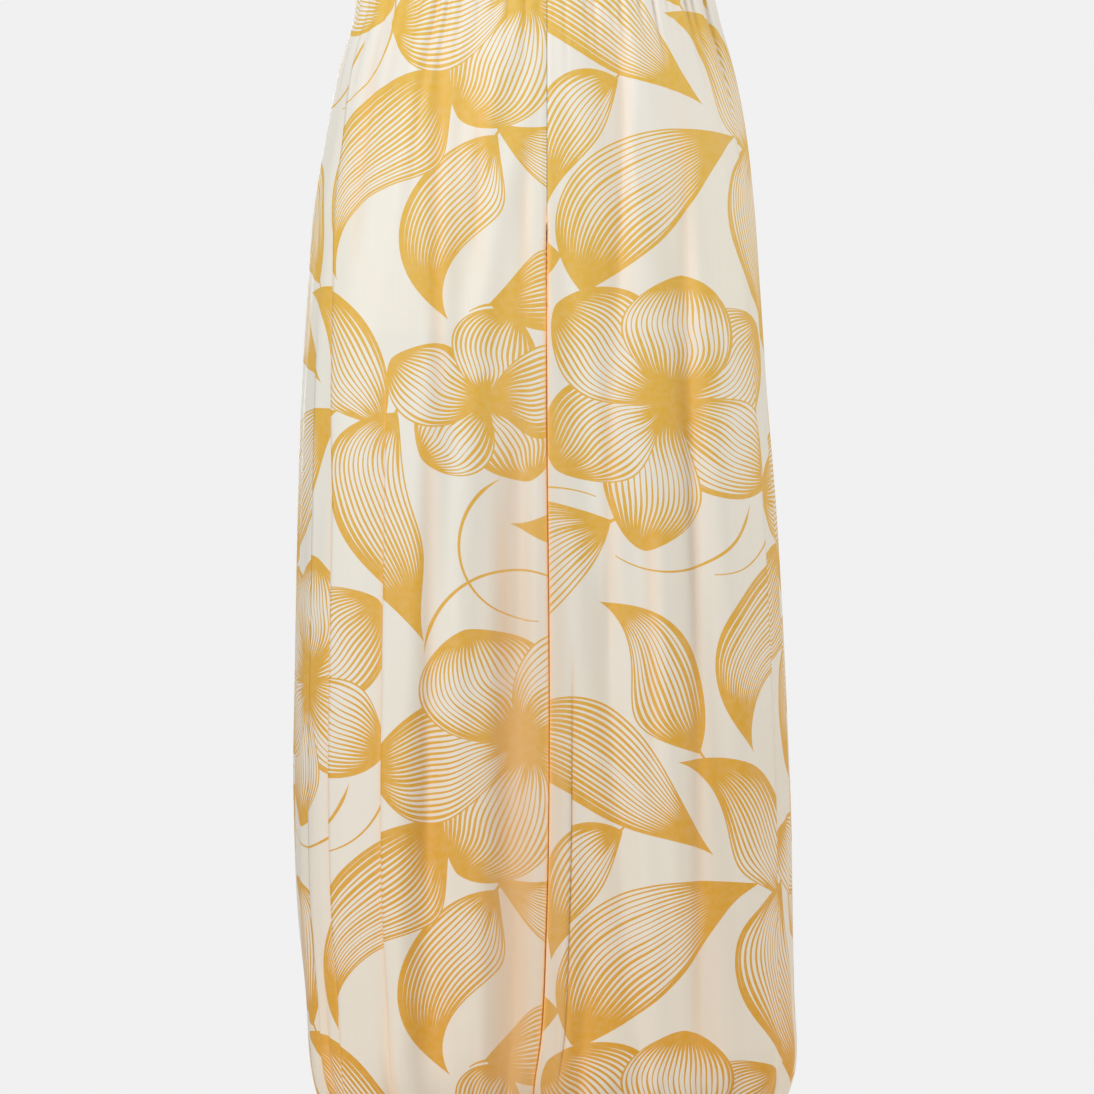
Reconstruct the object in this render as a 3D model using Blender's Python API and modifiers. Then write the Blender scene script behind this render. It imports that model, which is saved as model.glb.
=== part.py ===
"""Balloon pants: two wide legs of light printed cloth, gathered to an elastic waistband
and to elastic ankle cuffs, with a short lining.

Metres, +Z up. The front faces -Y and the wearer's left leg is at +X. The origin is the
centre of the waistband, where the wearer holds the garment up. The garment keeps the hollow
form that it has when it is worn: each leg panel is a wall of cloth through horizontal
sections, open at the waist and at both ankles.
"""

import math
from collections import namedtuple

import bmesh
import bpy
import numpy as np
from mathutils import Vector

COLLECTION = "balloon_pants"

# Cloth and seams
WALL = 0.0013            # outer cloth, as a solid wall
LINING_WALL = 0.0011
SEAM_GAP = 0.0003        # between two pieces at a seam
HALF_GAP = SEAM_GAP / 2

# Heights
BAND_HEIGHT = 0.035
BAND_TOP = BAND_HEIGHT / 2
PANEL_TOP = -BAND_TOP - SEAM_GAP
CROTCH_BEND = -0.225     # the centre seams start to curve under here
CROTCH = -0.300
BALLOON_START = -0.900   # below this the legs round in to the cuffs
PANEL_BOTTOM = -1.020
CUFF_HEIGHT = 0.032
LINING_HEM = -0.322

# Outline of the worn garment: how far it reaches from the centre seams at each height
Outline = namedtuple("Outline", "height left right front back")
OUTLINE = (
    Outline(0.030, 0.139, 0.159, 0.0990, 0.1040),
    Outline(-0.018, 0.1400, 0.1610, 0.0995, 0.1050),
    Outline(-0.045, 0.1458, 0.1655, 0.1030, 0.1090),
    Outline(-0.079, 0.1565, 0.1775, 0.1085, 0.1155),
    Outline(-0.113, 0.1650, 0.1860, 0.1125, 0.1225),
    Outline(-0.155, 0.1712, 0.1915, 0.1155, 0.1290),
    Outline(-0.198, 0.1750, 0.1980, 0.1170, 0.1325),
    Outline(-0.283, 0.1812, 0.2045, 0.1180, 0.1320),
    Outline(-0.368, 0.1870, 0.2095, 0.1185, 0.1280),
    Outline(-0.453, 0.1934, 0.2120, 0.1190, 0.1245),
    Outline(-0.580, 0.2010, 0.2140, 0.1200, 0.1220),
    Outline(-0.708, 0.2070, 0.2150, 0.1220, 0.1225),
    Outline(-0.800, 0.2090, 0.2138, 0.1240, 0.1240),
    Outline(-0.878, 0.2115, 0.2090, 0.1250, 0.1250),
    Outline(-0.930, 0.2150, 0.2085, 0.1250, 0.1250),
    Outline(-0.960, 0.2150, 0.2070, 0.1240, 0.1240),
    Outline(-1.050, 0.2150, 0.2050, 0.1220, 0.1220),
)

# A section is flat in the middle of each face and rounds to the sides. The flat part's
# outer end moves out from the centre seam to the middle of the leg on the way down.
Flat = namedtuple("Flat", "height share roundness")
FLATS = (
    Flat(0.030, 0.00, 2.20),
    Flat(-0.040, 0.08, 2.20),
    Flat(-0.100, 0.28, 2.22),
    Flat(-0.170, 0.58, 2.28),
    Flat(-0.230, 0.84, 2.38),
    Flat(-0.290, 1.00, 2.46),
    Flat(-0.340, 1.00, 2.50),
    Flat(-0.400, 1.00, 2.50),
)
LEGS_APART = 0.0006      # half the space between the legs, reached below the crotch
APART_BELOW = 0.080

# Roundness of a leg's inner quarters: an ellipse has 2, more is squarer
ELLIPSE = 2.0
InnerEdge = namedtuple("InnerEdge", "leg face roundness")
INNER_EDGES = (
    InnerEdge("left", "front", 12.0),    # a crisp edge that lies over the other leg
    InnerEdge("right", "front", 3.4),
    InnerEdge("left", "back", 4.0),
    InnerEdge("right", "back", 4.5),
)

# Ankle cuffs
CUFF_CENTRE_X = 0.107
CUFF_CENTRE_Y = 0.006
CUFF_RADIUS = 0.046
CUFF_COLUMNS = 28
CUFF_RUCHE = 0.0009
BALLOON_POWER = 2.5

# The left leg's inner front edge lies over the right leg: how far the parting between the
# legs is moved at the front and deeper in, at each height
Lean = namedtuple("Lean", "height front deep")
LEANS = (
    Lean(-0.250, 0.0000, 0.0000),
    Lean(-0.340, 0.0000, 0.0060),
    Lean(-0.800, 0.0000, 0.0060),
    Lean(-0.890, -0.0040, 0.0040),
    Lean(-0.958, -0.0110, 0.0000),
    Lean(-0.995, -0.0060, 0.0000),
    Lean(-1.020, 0.0000, 0.0000),
)
LEAN_FRONT = -0.120      # the depth with the whole of the front column's lean
LEAN_DEEP = -0.035       # and the depth from which the deep column's holds
LEAN_NEAR = 0.025        # full lean within this distance of the centre plane
LEAN_FAR = 0.070         # no lean beyond this one

# Knife folds: flat tucks whose edge points to the side seam. A share is a part of the
# reach from the centre plane to the side seam; top and low are at FOLD_TOP and FOLD_LOW.
# Each fold is a soft step from starts to deep and is tucked under from deep to full; these
# heights are rows of the cloth, so that no layer crosses another between two rows.
Fold = namedtuple("Fold", "leg face share_top share_low starts deep full tuck")
FOLD_TOP = -0.030
FOLD_LOW = -0.450
FOLDS = (
    Fold("right", "front", 0.620, 0.638, -0.330, -0.385, -0.460, 0.0060),
    Fold("right", "front", 0.935, 0.842, -0.048, -0.078, -0.118, 0.0070),
    Fold("right", "front", 0.955, 0.930, -0.300, -0.330, -0.385, 0.0050),
    Fold("left", "front", 0.094, 0.092, -0.560, -0.640, -0.720, 0.0030),
    Fold("left", "front", 0.930, 0.925, -0.330, -0.385, -0.460, 0.0070),
    Fold("left", "back", 0.420, 0.440, -0.300, -0.330, -0.385, 0.0070),
    Fold("left", "back", 0.830, 0.840, -0.225, -0.300, -0.330, 0.0070),
    Fold("right", "back", 0.520, 0.500, -0.165, -0.225, -0.300, 0.0060),
    Fold("right", "back", 0.870, 0.860, -0.385, -0.460, -0.560, 0.0070),
)
FoldEnd = namedtuple("FoldEnd", "full deep closed")
FOLD_END = FoldEnd(-0.820, -0.900, -0.972)   # the folds open again into the ankle gathers
FOLD_UNDER = 2 * WALL + 0.0009   # from the upper layer's face to the turned-back layer's
FOLD_REST = 0.0010               # from the turned-back layer to the lowest one
FOLD_TURN = 0.0005
FOLD_STEP_SHARE = 0.33           # its first column's part of the depth before it is tucked
FOLD_LAP = 0.010                 # the upper layer's last column before its edge
FOLD_OPEN_STEP = 0.0025          # the spacing of a fold's columns where it lies open
FOLD_RECOVERS = 0.040            # past its edge the lowest layer rises over this distance
FOLD_COLUMNS = 4                 # its edge and the three columns that lie under it

# Soft folds: long troughs (depth below 0) and ridges (above 0) that fade at their ends
Crease = namedtuple("Crease", "leg face share_top share_low top bottom width depth")
CREASES = (
    Crease("right", "front", 0.36, 0.42, -0.020, -0.330, 0.016, -0.0050),
    Crease("right", "front", 0.62, 0.66, -0.020, -0.260, 0.013, 0.0030),
    Crease("right", "front", 0.13, 0.16, -0.360, -0.680, 0.017, -0.0050),
    Crease("right", "front", 0.42, 0.44, -0.600, -0.985, 0.018, -0.0060),
    Crease("right", "front", 0.28, 0.30, -0.500, -0.960, 0.020, 0.0040),
    Crease("left", "front", 0.33, 0.35, -0.020, -0.390, 0.014, -0.0045),
    Crease("left", "front", 0.62, 0.65, -0.150, -0.985, 0.017, -0.0055),
    Crease("left", "front", 0.48, 0.50, -0.300, -0.900, 0.020, 0.0040),
    Crease("left", "front", 0.22, 0.26, -0.480, -0.930, 0.018, -0.0040),
    Crease("left", "back", 0.25, 0.24, -0.040, -0.400, 0.017, -0.0050),
    Crease("left", "back", 0.66, 0.64, -0.300, -0.970, 0.019, -0.0060),
    Crease("left", "back", 0.20, 0.22, -0.450, -0.940, 0.019, 0.0045),
    Crease("right", "back", 0.30, 0.33, -0.030, -0.350, 0.016, -0.0045),
    Crease("right", "back", 0.70, 0.71, -0.260, -0.980, 0.018, -0.0055),
    Crease("right", "back", 0.24, 0.22, -0.500, -0.950, 0.020, -0.0050),
)
CREASE_FADE = 0.090

# Gathers: small waves that die away from the waistband and from the cuffs
WAIST_GATHER = 0.0017
WAIST_GATHER_FADE = 0.055
ANKLE_GATHER = 0.0028
ANKLE_GATHER_FADE = 0.050

# Columns and rows of cloth
COLUMN_PITCH = 0.0165
INNER_COLUMNS = 5        # from the inseam round to the leg's inner edge
INNER_STRIP = 0.016      # their strip beside the centre seam, above the crotch
INNER_EDGE_TURN = 0.94   # the inner edge's place, as a share of the leg's depth
PITCH_HEIGHT = -0.500    # the section that the pitch is measured on
TORSO_ROWS = (PANEL_TOP, -0.030, -0.048, -0.078, -0.118, -0.165)
CROTCH_STEPS = 5
LEG_ROWS = (-0.330, -0.385, -0.460, -0.560, -0.640, -0.720, -0.820, -0.900,
            -0.945, -0.972, -0.992, -1.008, PANEL_BOTTOM)

# Waistband and lining
BAND_COLUMNS = 64
BAND_ROWS = 3
BAND_WALL = 0.0030
BAND_PROUD = 0.0012
BAND_RUCHE = 0.0008
BAND_CROWN = 0.0008
BAND_EDGE_RUCHE = 0.4    # how much of the ruching the casing's two edges show
LINING_TOP_INSET = 0.0040
LINING_INSET = 0.0105
LINING_INSET_DEPTH = 0.090
LINING_RISE = 0.0070     # its crotch hangs this much higher than the outer one
LINING_COLUMNS = 9       # on each of its two faces
LINING_ROWS = (PANEL_TOP, -0.050, -0.105, -0.165)
LINING_LEG_ROWS = (-0.306, LINING_HEM)

# Colours (linear) of the materials
CREAM = (0.76, 0.71, 0.62)
GOLD_AND_CREAM = (0.74, 0.60, 0.34)
LINING_WHITE = (0.80, 0.77, 0.70)
CLOTH_ROUGHNESS = 0.55

SECTION_STEPS = 96       # points that a section's quarter is measured with
TINY = 1e-6


def smooth_step(value):
    """0 below 0, 1 above 1 and a soft rise between."""
    held = np.clip(value, 0.0, 1.0)
    return held * held * (3.0 - 2.0 * held)


def along(table, column, height):
    """A table's column at a height, on a smooth curve through its rows (Catmull-Rom)."""
    rows = sorted(table, key=lambda row: row.height)
    heights = np.array([row.height for row in rows])
    values = np.array([getattr(row, column) for row in rows])
    slopes = np.gradient(values, heights)
    at = float(np.clip(height, heights[0], heights[-1]))
    i = int(np.clip(np.searchsorted(heights, at) - 1, 0, len(heights) - 2))
    span = heights[i + 1] - heights[i]
    t = (at - heights[i]) / span
    rise = values[i + 1] - values[i]
    start, end = slopes[i] * span, slopes[i + 1] * span
    return float(
        values[i]
        + t * start
        + t * t * (3 * rise - 2 * start - end)
        + t * t * t * (start + end - 2 * rise)
    )


def crotch_share(height, rise):
    """0 above the bend of the centre seam, 1 below the crotch: the sine of its curve."""
    bend, bottom = CROTCH_BEND + rise, CROTCH + rise
    return float(np.clip((bend - height) / (bend - bottom), 0.0, 1.0))


def balloon(height):
    """1 on the straight leg, 0 at the cuff."""
    share = np.clip((BALLOON_START - height) / (BALLOON_START - PANEL_BOTTOM), 0.0, 1.0)
    return float(1.0 - share**BALLOON_POWER)


def mix(a, b, share):
    return a + (b - a) * share


def section(leg, face, height, inset=0.0, rise=0.0):
    """The section's curve for one face of one leg, from the inner seam to the side seam:
    points (x, y), their outward normals and their distance along the curve, with x
    measured away from the centre plane. inset moves it inwards and rise lifts its crotch."""
    edge = next(row for row in INNER_EDGES if (row.leg, row.face) == (leg, face))
    full = balloon(height)
    share = crotch_share(height, rise)
    parted = LEGS_APART * smooth_step((CROTCH - height) / APART_BELOW)
    seam = HALF_GAP + parted + inset * share
    reach = mix(CUFF_CENTRE_X + CUFF_RADIUS, along(OUTLINE, leg, height), full) - inset
    depth = mix(CUFF_RADIUS, along(OUTLINE, face, height), full) - inset
    inner = mix(CUFF_CENTRE_X - CUFF_RADIUS, seam, full)
    half_leg = (reach - inner) / 2
    inner_round = mix(ELLIPSE, edge.roundness, full)
    outer_round = mix(ELLIPSE, along(FLATS, "roundness", height), full)
    inner_centre = inner + half_leg * smooth_step(share)
    outer_centre = inner + half_leg * along(FLATS, "share", height)
    outer_centre = max(inner_centre, outer_centre)
    if share > 0.0:
        seam_depth = depth * math.sqrt(max(0.0, 1.0 - share * share))
        narrow = (1.0 - (seam_depth / depth) ** inner_round) ** (1.0 / inner_round)
        inner_half = (inner_centre - inner) / max(narrow, TINY)
        start = math.atan2(seam_depth, inner_centre - inner)
    else:
        inner_half, start = half_leg, math.pi / 2
    inner_angles = np.linspace(start, math.pi / 2, SECTION_STEPS)
    outer_angles = np.linspace(math.pi / 2, math.pi, SECTION_STEPS)
    inner_arc = arc(inner_centre, inner_half, depth, inner_round, inner_angles)
    outer_arc = arc(outer_centre, reach - outer_centre, depth, outer_round, outer_angles)
    points = np.vstack([inner_arc, outer_arc])
    facing = -1.0 if face == "front" else 1.0
    points[:, 1] = facing * (points[:, 1] + HALF_GAP) + mix(CUFF_CENTRE_Y, 0.0, full)
    apart = np.hypot(*np.diff(points, axis=0).T) > TINY
    points = points[np.concatenate([[True], apart])]
    distance = np.concatenate([[0.0], np.cumsum(np.hypot(*np.diff(points, axis=0).T))])
    tangent = np.gradient(points, distance, axis=0)
    tangent /= np.hypot(*tangent.T)[:, None]
    normals = facing * np.column_stack([-tangent[:, 1], tangent[:, 0]])
    return points, normals, distance


def arc(centre, half, depth, roundness, angles):
    """Points (x, y) of a quarter of a section, from its inner end (angle 0) outwards."""
    across = np.abs(np.cos(angles)) / half
    deep = np.abs(np.sin(angles)) / depth
    radius = (across**roundness + deep**roundness) ** (-1.0 / roundness)
    return np.column_stack([centre - radius * np.cos(angles), radius * np.sin(angles)])


def fold_share(fold, height):
    """Where the fold's edge lies at a height, as a share of the reach."""
    down = np.clip((FOLD_TOP - height) / (FOLD_TOP - FOLD_LOW), 0.0, 1.0)
    return mix(fold.share_top, fold.share_low, down)


def ramp(height, start, end):
    """0 above start and 1 below end."""
    return float(np.clip((start - height) / (start - end), 0.0, 1.0))


def fold_state(fold, height):
    """How deep the fold's layers lie (0 to 1), then how far it is tucked under (0 to 1)."""
    deep = min(ramp(height, fold.starts, fold.deep),
               1.0 - ramp(height, FOLD_END.deep, FOLD_END.closed))
    tucked = min(ramp(height, fold.deep, fold.full),
                 1.0 - ramp(height, FOLD_END.full, FOLD_END.deep))
    return deep, tucked


def inner_edge(points, distance):
    """Distance along a section from the inseam to where it turns onto the leg's face."""
    depth = np.abs(points[:, 1])
    turned = int(np.argmax(depth >= INNER_EDGE_TURN * depth.max()))
    return float(distance[turned])


def under_fold(fold, height, edge, base):
    """Places and depths of the three columns past a fold's edge: the one that turns
    under, the turned-back one and the one where the lowest layer starts."""
    deep, tucked = fold_state(fold, height)
    turn = edge + mix(FOLD_OPEN_STEP, FOLD_TURN, deep)
    turned_back = turn + mix(FOLD_OPEN_STEP * (1.0 - deep), -fold.tuck, tucked)
    round_it = mix(FOLD_TURN, -FOLD_TURN, tucked)
    lowest = turned_back + mix(FOLD_OPEN_STEP, round_it, deep)
    first_step = FOLD_UNDER * mix(FOLD_STEP_SHARE, 1.0, tucked)
    steps = (first_step, FOLD_UNDER, FOLD_UNDER + FOLD_REST)
    return [turn, turned_back, lowest], [base + deep * step for step in steps]


class Panel:
    """The grid of one leg panel: columns from the inner seam to the side seam."""

    def __init__(self, leg, face):
        self.leg = leg
        self.face = face
        self.folds = [row for row in FOLDS if (row.leg, row.face) == (leg, face)]
        self.folds.sort(key=lambda row: row.share_low)
        self.creases = [row for row in CREASES if (row.leg, row.face) == (leg, face)]
        points, _, distance = section(leg, face, PITCH_HEIGHT)
        reach = along(OUTLINE, leg, PITCH_HEIGHT)
        shares = [fold_share(fold, PITCH_HEIGHT) for fold in self.folds]
        edges = np.interp(np.array(shares) * reach, points[:, 0], distance)
        marks = np.concatenate([[inner_edge(points, distance)], edges, distance[-1:]])
        self.counts = [max(1, round(gap / COLUMN_PITCH)) for gap in np.diff(marks)]

    def columns(self, height, points, distance):
        """Each column's distance along the section and how deep it lies under a fold."""
        full = balloon(height)
        start = mix(INNER_STRIP, inner_edge(points, distance), crotch_share(height, 0.0))
        reach = mix(CUFF_CENTRE_X + CUFF_RADIUS, along(OUTLINE, self.leg, height), full)
        place = list(np.linspace(0.0, start, INNER_COLUMNS + 1))
        depth = [0.0] * len(place)
        under, last_edge = 0.0, 0.0
        for fold, count in zip(self.folds, self.counts):
            lap = mix(FOLD_OPEN_STEP, FOLD_LAP, fold_state(fold, height)[0])
            edge = np.interp(fold_share(fold, height) * reach, points[:, 0], distance)
            edge = max(edge, start + lap + FOLD_OPEN_STEP * count)
            strip = np.linspace(start, edge - lap, count + 1)[1:]
            strip = np.append(strip, edge)
            place.extend(strip)
            depth.extend(under * (1.0 - smooth_step((strip - last_edge) / FOLD_RECOVERS)))
            hidden, deeper = under_fold(fold, height, edge, depth[-1])
            place.extend(hidden)
            depth.extend(deeper)
            start, under, last_edge = hidden[-1], deeper[-1], edge
        strip = np.linspace(start, distance[-1], self.counts[-1] + 1)[1:]
        place.extend(strip)
        depth.extend(under * (1.0 - smooth_step((strip - last_edge) / FOLD_RECOVERS)))
        depth[-1] = 0.0
        return np.array(place), np.array(depth)

    def phases(self):
        """A running number for the gathers: whole numbers on the plain columns."""
        phase = list(range(INNER_COLUMNS + 1))
        for number, count in enumerate(self.counts):
            phase.extend(phase[-1] + k for k in range(1, count + 1))
            if number < len(self.folds):
                phase.extend([phase[-1] + 1] * FOLD_COLUMNS)
        return np.array(phase, float)

    def relief(self, x, height):
        """How far the soft folds stand out at a place."""
        reach = along(OUTLINE, self.leg, height)
        down = np.clip((FOLD_TOP - height) / (FOLD_TOP - PANEL_BOTTOM), 0.0, 1.0)
        out = np.zeros_like(x)
        for row in self.creases:
            fade = smooth_step((row.top - height) / CREASE_FADE)
            fade *= smooth_step((height - row.bottom) / CREASE_FADE)
            centre = mix(row.share_top, row.share_low, down) * reach
            out += row.depth * fade * np.exp(-(((x - centre) / row.width) ** 2))
        return out

    def gathers(self, height):
        """The waves of the waist and ankle gathers at a height."""
        from_top = (PANEL_TOP - height) / WAIST_GATHER_FADE
        from_bottom = (height - PANEL_BOTTOM) / ANKLE_GATHER_FADE
        size = WAIST_GATHER * math.exp(-from_top * from_top)
        size += ANKLE_GATHER * math.exp(-from_bottom * from_bottom)
        wave = size * np.cos(math.pi * self.phases())
        wave[0] = wave[1]
        wave[-1] = wave[-2]
        return wave

    def row(self, height):
        """The cloth's outer face at a height, as points in the garment's frame."""
        points, normals, distance = section(self.leg, self.face, height)
        place, depth = self.columns(height, points, distance)
        x = np.interp(place, distance, points[:, 0])
        y = np.interp(place, distance, points[:, 1])
        normal_x = np.interp(place, distance, normals[:, 0])
        normal_y = np.interp(place, distance, normals[:, 1])
        out = self.relief(x, height) + self.gathers(height) - depth
        x = np.maximum(x + normal_x * out, HALF_GAP)
        return lean(x, y + normal_y * out, height, self.leg)


def lean(x, y, height, leg):
    """Points of a row in the garment's frame, with the inner front edges leant over."""
    side = 1.0 if leg == "left" else -1.0
    near = 1.0 - smooth_step((x - LEAN_NEAR) / (LEAN_FAR - LEAN_NEAR))
    forward = smooth_step((LEAN_DEEP - y) / (LEAN_DEEP - LEAN_FRONT))
    moved = mix(along(LEANS, "deep", height), along(LEANS, "front", height), forward)
    return np.column_stack([side * x + moved * near, y, np.full_like(x, height)])


def crotch_rows(rise=0.0):
    """Heights down the curve of the centre seam, closer together where it turns under."""
    angles = np.linspace(0.0, math.pi / 2, CROTCH_STEPS + 1)
    return [CROTCH_BEND + rise - (CROTCH_BEND - CROTCH) * math.sin(a) for a in angles]


def cloth_material(name, colour):
    material = bpy.data.materials.new(name)
    material.use_nodes = True
    shader = material.node_tree.nodes["Principled BSDF"]
    shader.inputs["Base Color"].default_value = (*colour, 1.0)
    shader.inputs["Roughness"].default_value = CLOTH_ROUGHNESS
    shader.inputs["Metallic"].default_value = 0.0
    return material


def halves(upper_left, lower_left, lower_right, upper_right, axis):
    """A patch of cloth as two triangles, creased along its diagonal nearer the leg's axis,
    which keeps a turned-back layer clear of the layer over it."""
    falling = (upper_left.co + lower_right.co).xy / 2 - axis
    rising = (lower_left.co + upper_right.co).xy / 2 - axis
    if falling.length < rising.length:
        return (upper_left, lower_left, lower_right), (upper_left, lower_right, upper_right)
    return (upper_left, lower_left, upper_right), (lower_left, lower_right, upper_right)


def sheet_object(name, rows, wall, colour, closed=False, axis=(0.0, 0.0)):
    """A sheet of cloth through rows of points, turned to face out and given its wall."""
    mesh = bmesh.new()
    grid = [[mesh.verts.new(point) for point in row] for row in rows]
    columns = len(rows[0])
    for upper, lower in zip(grid, grid[1:]):
        for i in range(columns if closed else columns - 1):
            j = (i + 1) % columns
            for corners in halves(upper[i], lower[i], lower[j], upper[j], Vector(axis)):
                mesh.faces.new(corners)
    mesh.normal_update()
    data = bpy.data.meshes.new(name)
    mesh.to_mesh(data)
    mesh.free()
    data.shade_smooth()
    piece = bpy.data.objects.new(name, data)
    bpy.data.collections[COLLECTION].objects.link(piece)
    data.materials.append(cloth_material(name + "_cloth", colour))
    thick = piece.modifiers.new("Wall", "SOLIDIFY")
    thick.thickness = wall
    thick.offset = -1.0
    thick.use_quality_normals = True
    return piece


def facing_out(rows, leg, face):
    """The rows with their columns in the order that makes the faces point out."""
    forward = (leg == "left") == (face == "front")
    return rows if forward else [row[::-1] for row in rows]


def build_panel(leg, face):
    panel = Panel(leg, face)
    heights = list(TORSO_ROWS) + crotch_rows() + list(LEG_ROWS)
    rows = [panel.row(height) for height in heights]
    axis = (CUFF_CENTRE_X if leg == "left" else -CUFF_CENTRE_X, 0.0)
    out = facing_out(rows, leg, face)
    return sheet_object(f"{face}_{leg}", out, WALL, GOLD_AND_CREAM, axis=axis)


def build_lining(leg):
    """One lining leg: a sheet from the front centre seam round the side to the back one."""
    heights = list(LINING_ROWS) + crotch_rows(LINING_RISE)[:-1] + list(LINING_LEG_ROWS)
    rows = []
    for height in heights:
        deep = smooth_step((PANEL_TOP - height) / LINING_INSET_DEPTH)
        inset = mix(LINING_TOP_INSET, LINING_INSET, deep)
        faces = []
        for face in ("front", "back"):
            points, _, distance = section(leg, face, height, inset, LINING_RISE)
            place = np.linspace(0.0, distance[-1], LINING_COLUMNS + 1)
            x = np.interp(place, distance, points[:, 0])
            y = np.interp(place, distance, points[:, 1])
            faces.append(lean(np.maximum(x, HALF_GAP), y, height, leg))
        rows.append(np.vstack([faces[0][:-1], faces[1][::-1]]))
    out = facing_out(rows, leg, "front")
    return sheet_object(f"lining_{leg}", out, LINING_WALL, LINING_WHITE)


def build_waistband():
    """The casing: one ring of double cloth over elastic, softly ruched."""
    quarters = (("left", "front", 1), ("left", "back", -1),
                ("right", "back", 1), ("right", "front", -1))
    rows = []
    for step in range(BAND_ROWS + 1):
        inner_row = 0 < step < BAND_ROWS
        proud = BAND_PROUD + (BAND_CROWN if inner_row else 0.0)
        ring = []
        for leg, face, way in quarters:
            points, normals, distance = section(leg, face, PANEL_TOP)
            points = points + normals * proud
            side = 1.0 if leg == "left" else -1.0
            place = np.linspace(0.0, distance[-1], BAND_COLUMNS // len(quarters) + 1)
            x = side * np.interp(place, distance, points[:, 0])
            y = np.interp(place, distance, points[:, 1])
            ring.append(np.column_stack([x, y])[::way][:-1])
        ring = np.vstack(ring)
        outward = ring / np.hypot(*ring.T)[:, None]
        size = BAND_RUCHE * (1.0 if inner_row else BAND_EDGE_RUCHE)
        ruche = size * np.cos(math.pi * np.arange(len(ring)))
        ring = ring + outward * ruche[:, None]
        height = BAND_TOP - BAND_HEIGHT * step / BAND_ROWS
        rows.append(np.column_stack([ring, np.full(len(ring), height)]))
    return sheet_object("waistband", rows, BAND_WALL, CREAM, closed=True)


def build_cuff(leg):
    """An ankle cuff: a short ring of double cloth over elastic."""
    side = 1.0 if leg == "left" else -1.0
    top = PANEL_BOTTOM - SEAM_GAP
    column = np.arange(CUFF_COLUMNS)
    angles = 2.0 * math.pi * column / CUFF_COLUMNS
    rows = []
    for step in range(BAND_ROWS + 1):
        crown = BAND_CROWN if 0 < step < BAND_ROWS else 0.0
        radius = CUFF_RADIUS + crown + CUFF_RUCHE * np.cos(math.pi * column)
        x = side * CUFF_CENTRE_X + radius * np.sin(angles)
        y = CUFF_CENTRE_Y - radius * np.cos(angles)
        height = top - CUFF_HEIGHT * step / BAND_ROWS
        rows.append(np.column_stack([x, y, np.full(CUFF_COLUMNS, height)]))
    return sheet_object(f"cuff_{leg}", rows, BAND_WALL, CREAM, closed=True)


def build_garment():
    for old in list(bpy.data.objects):
        bpy.data.objects.remove(old, do_unlink=True)
    collection = bpy.data.collections.new(COLLECTION)
    bpy.context.scene.collection.children.link(collection)
    build_waistband()
    for leg in ("left", "right"):
        for face in ("front", "back"):
            build_panel(leg, face)
        build_lining(leg)
        build_cuff(leg)


build_garment()
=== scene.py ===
# %% [markdown]
# # Balloon pants in a light printed cloth
# Two wide legs of thin crepe hang from an elastic waistband and are gathered again into
# elastic ankle cuffs. The garment is shown in the shape that it has when it is worn, with
# nobody in it. This lesson builds what the eye sees: the cloth with its folds and its
# print, the ruched casings, the lining and the sewing. Cloth like this could be simulated,
# but every fold here is known from how the garment hangs, so each sheet is built directly
# as rows of points, one row for each height. That is exact, quick and repeats each time.

# %% Load the plain solids that the cloth is built around
import math
import random
from collections import namedtuple

import bmesh
import bpy
import numpy as np
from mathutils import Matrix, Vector


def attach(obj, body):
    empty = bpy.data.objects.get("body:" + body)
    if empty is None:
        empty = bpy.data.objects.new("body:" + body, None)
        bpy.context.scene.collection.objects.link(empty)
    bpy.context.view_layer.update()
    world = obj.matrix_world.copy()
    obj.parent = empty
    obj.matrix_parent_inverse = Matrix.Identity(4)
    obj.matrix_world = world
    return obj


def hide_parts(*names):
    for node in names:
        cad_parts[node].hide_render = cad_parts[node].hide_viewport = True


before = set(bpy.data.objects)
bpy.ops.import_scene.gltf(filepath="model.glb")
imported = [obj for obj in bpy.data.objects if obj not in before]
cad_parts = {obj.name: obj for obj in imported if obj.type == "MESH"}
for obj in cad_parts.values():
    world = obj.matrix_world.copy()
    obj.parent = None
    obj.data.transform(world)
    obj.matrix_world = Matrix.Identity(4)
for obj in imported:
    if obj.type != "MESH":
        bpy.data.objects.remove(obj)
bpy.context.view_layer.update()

print("nodes:", sorted(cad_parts))

# %% [markdown]
# ## The outline of the worn garment
# A pattern cutter measures a garment at fixed heights. The tables below do the same: how far
# the cloth reaches to each side, forward and back, where the faces are flat, and how the
# inner edge of the left leg leans over the right one. A smooth curve is drawn through the
# rows of each table, so a height between two rows has a sensible value too.

# %% Heights and outline
SEAM_GAP = 0.0003
HALF_GAP = SEAM_GAP / 2
BAND_HEIGHT = 0.035
BAND_TOP = BAND_HEIGHT / 2
PANEL_TOP = -BAND_TOP - SEAM_GAP
CROTCH_BEND = -0.225
CROTCH = -0.300
BALLOON_START = -0.900
PANEL_BOTTOM = -1.020
CUFF_HEIGHT = 0.032
CUFF_CENTRE_X = 0.107
CUFF_CENTRE_Y = 0.006
CUFF_RADIUS = 0.046
BALLOON_POWER = 2.5
INNER_BALLOON_START = -0.945
INNER_BALLOON_POWER = 3.0
ELLIPSE = 2.0

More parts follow.
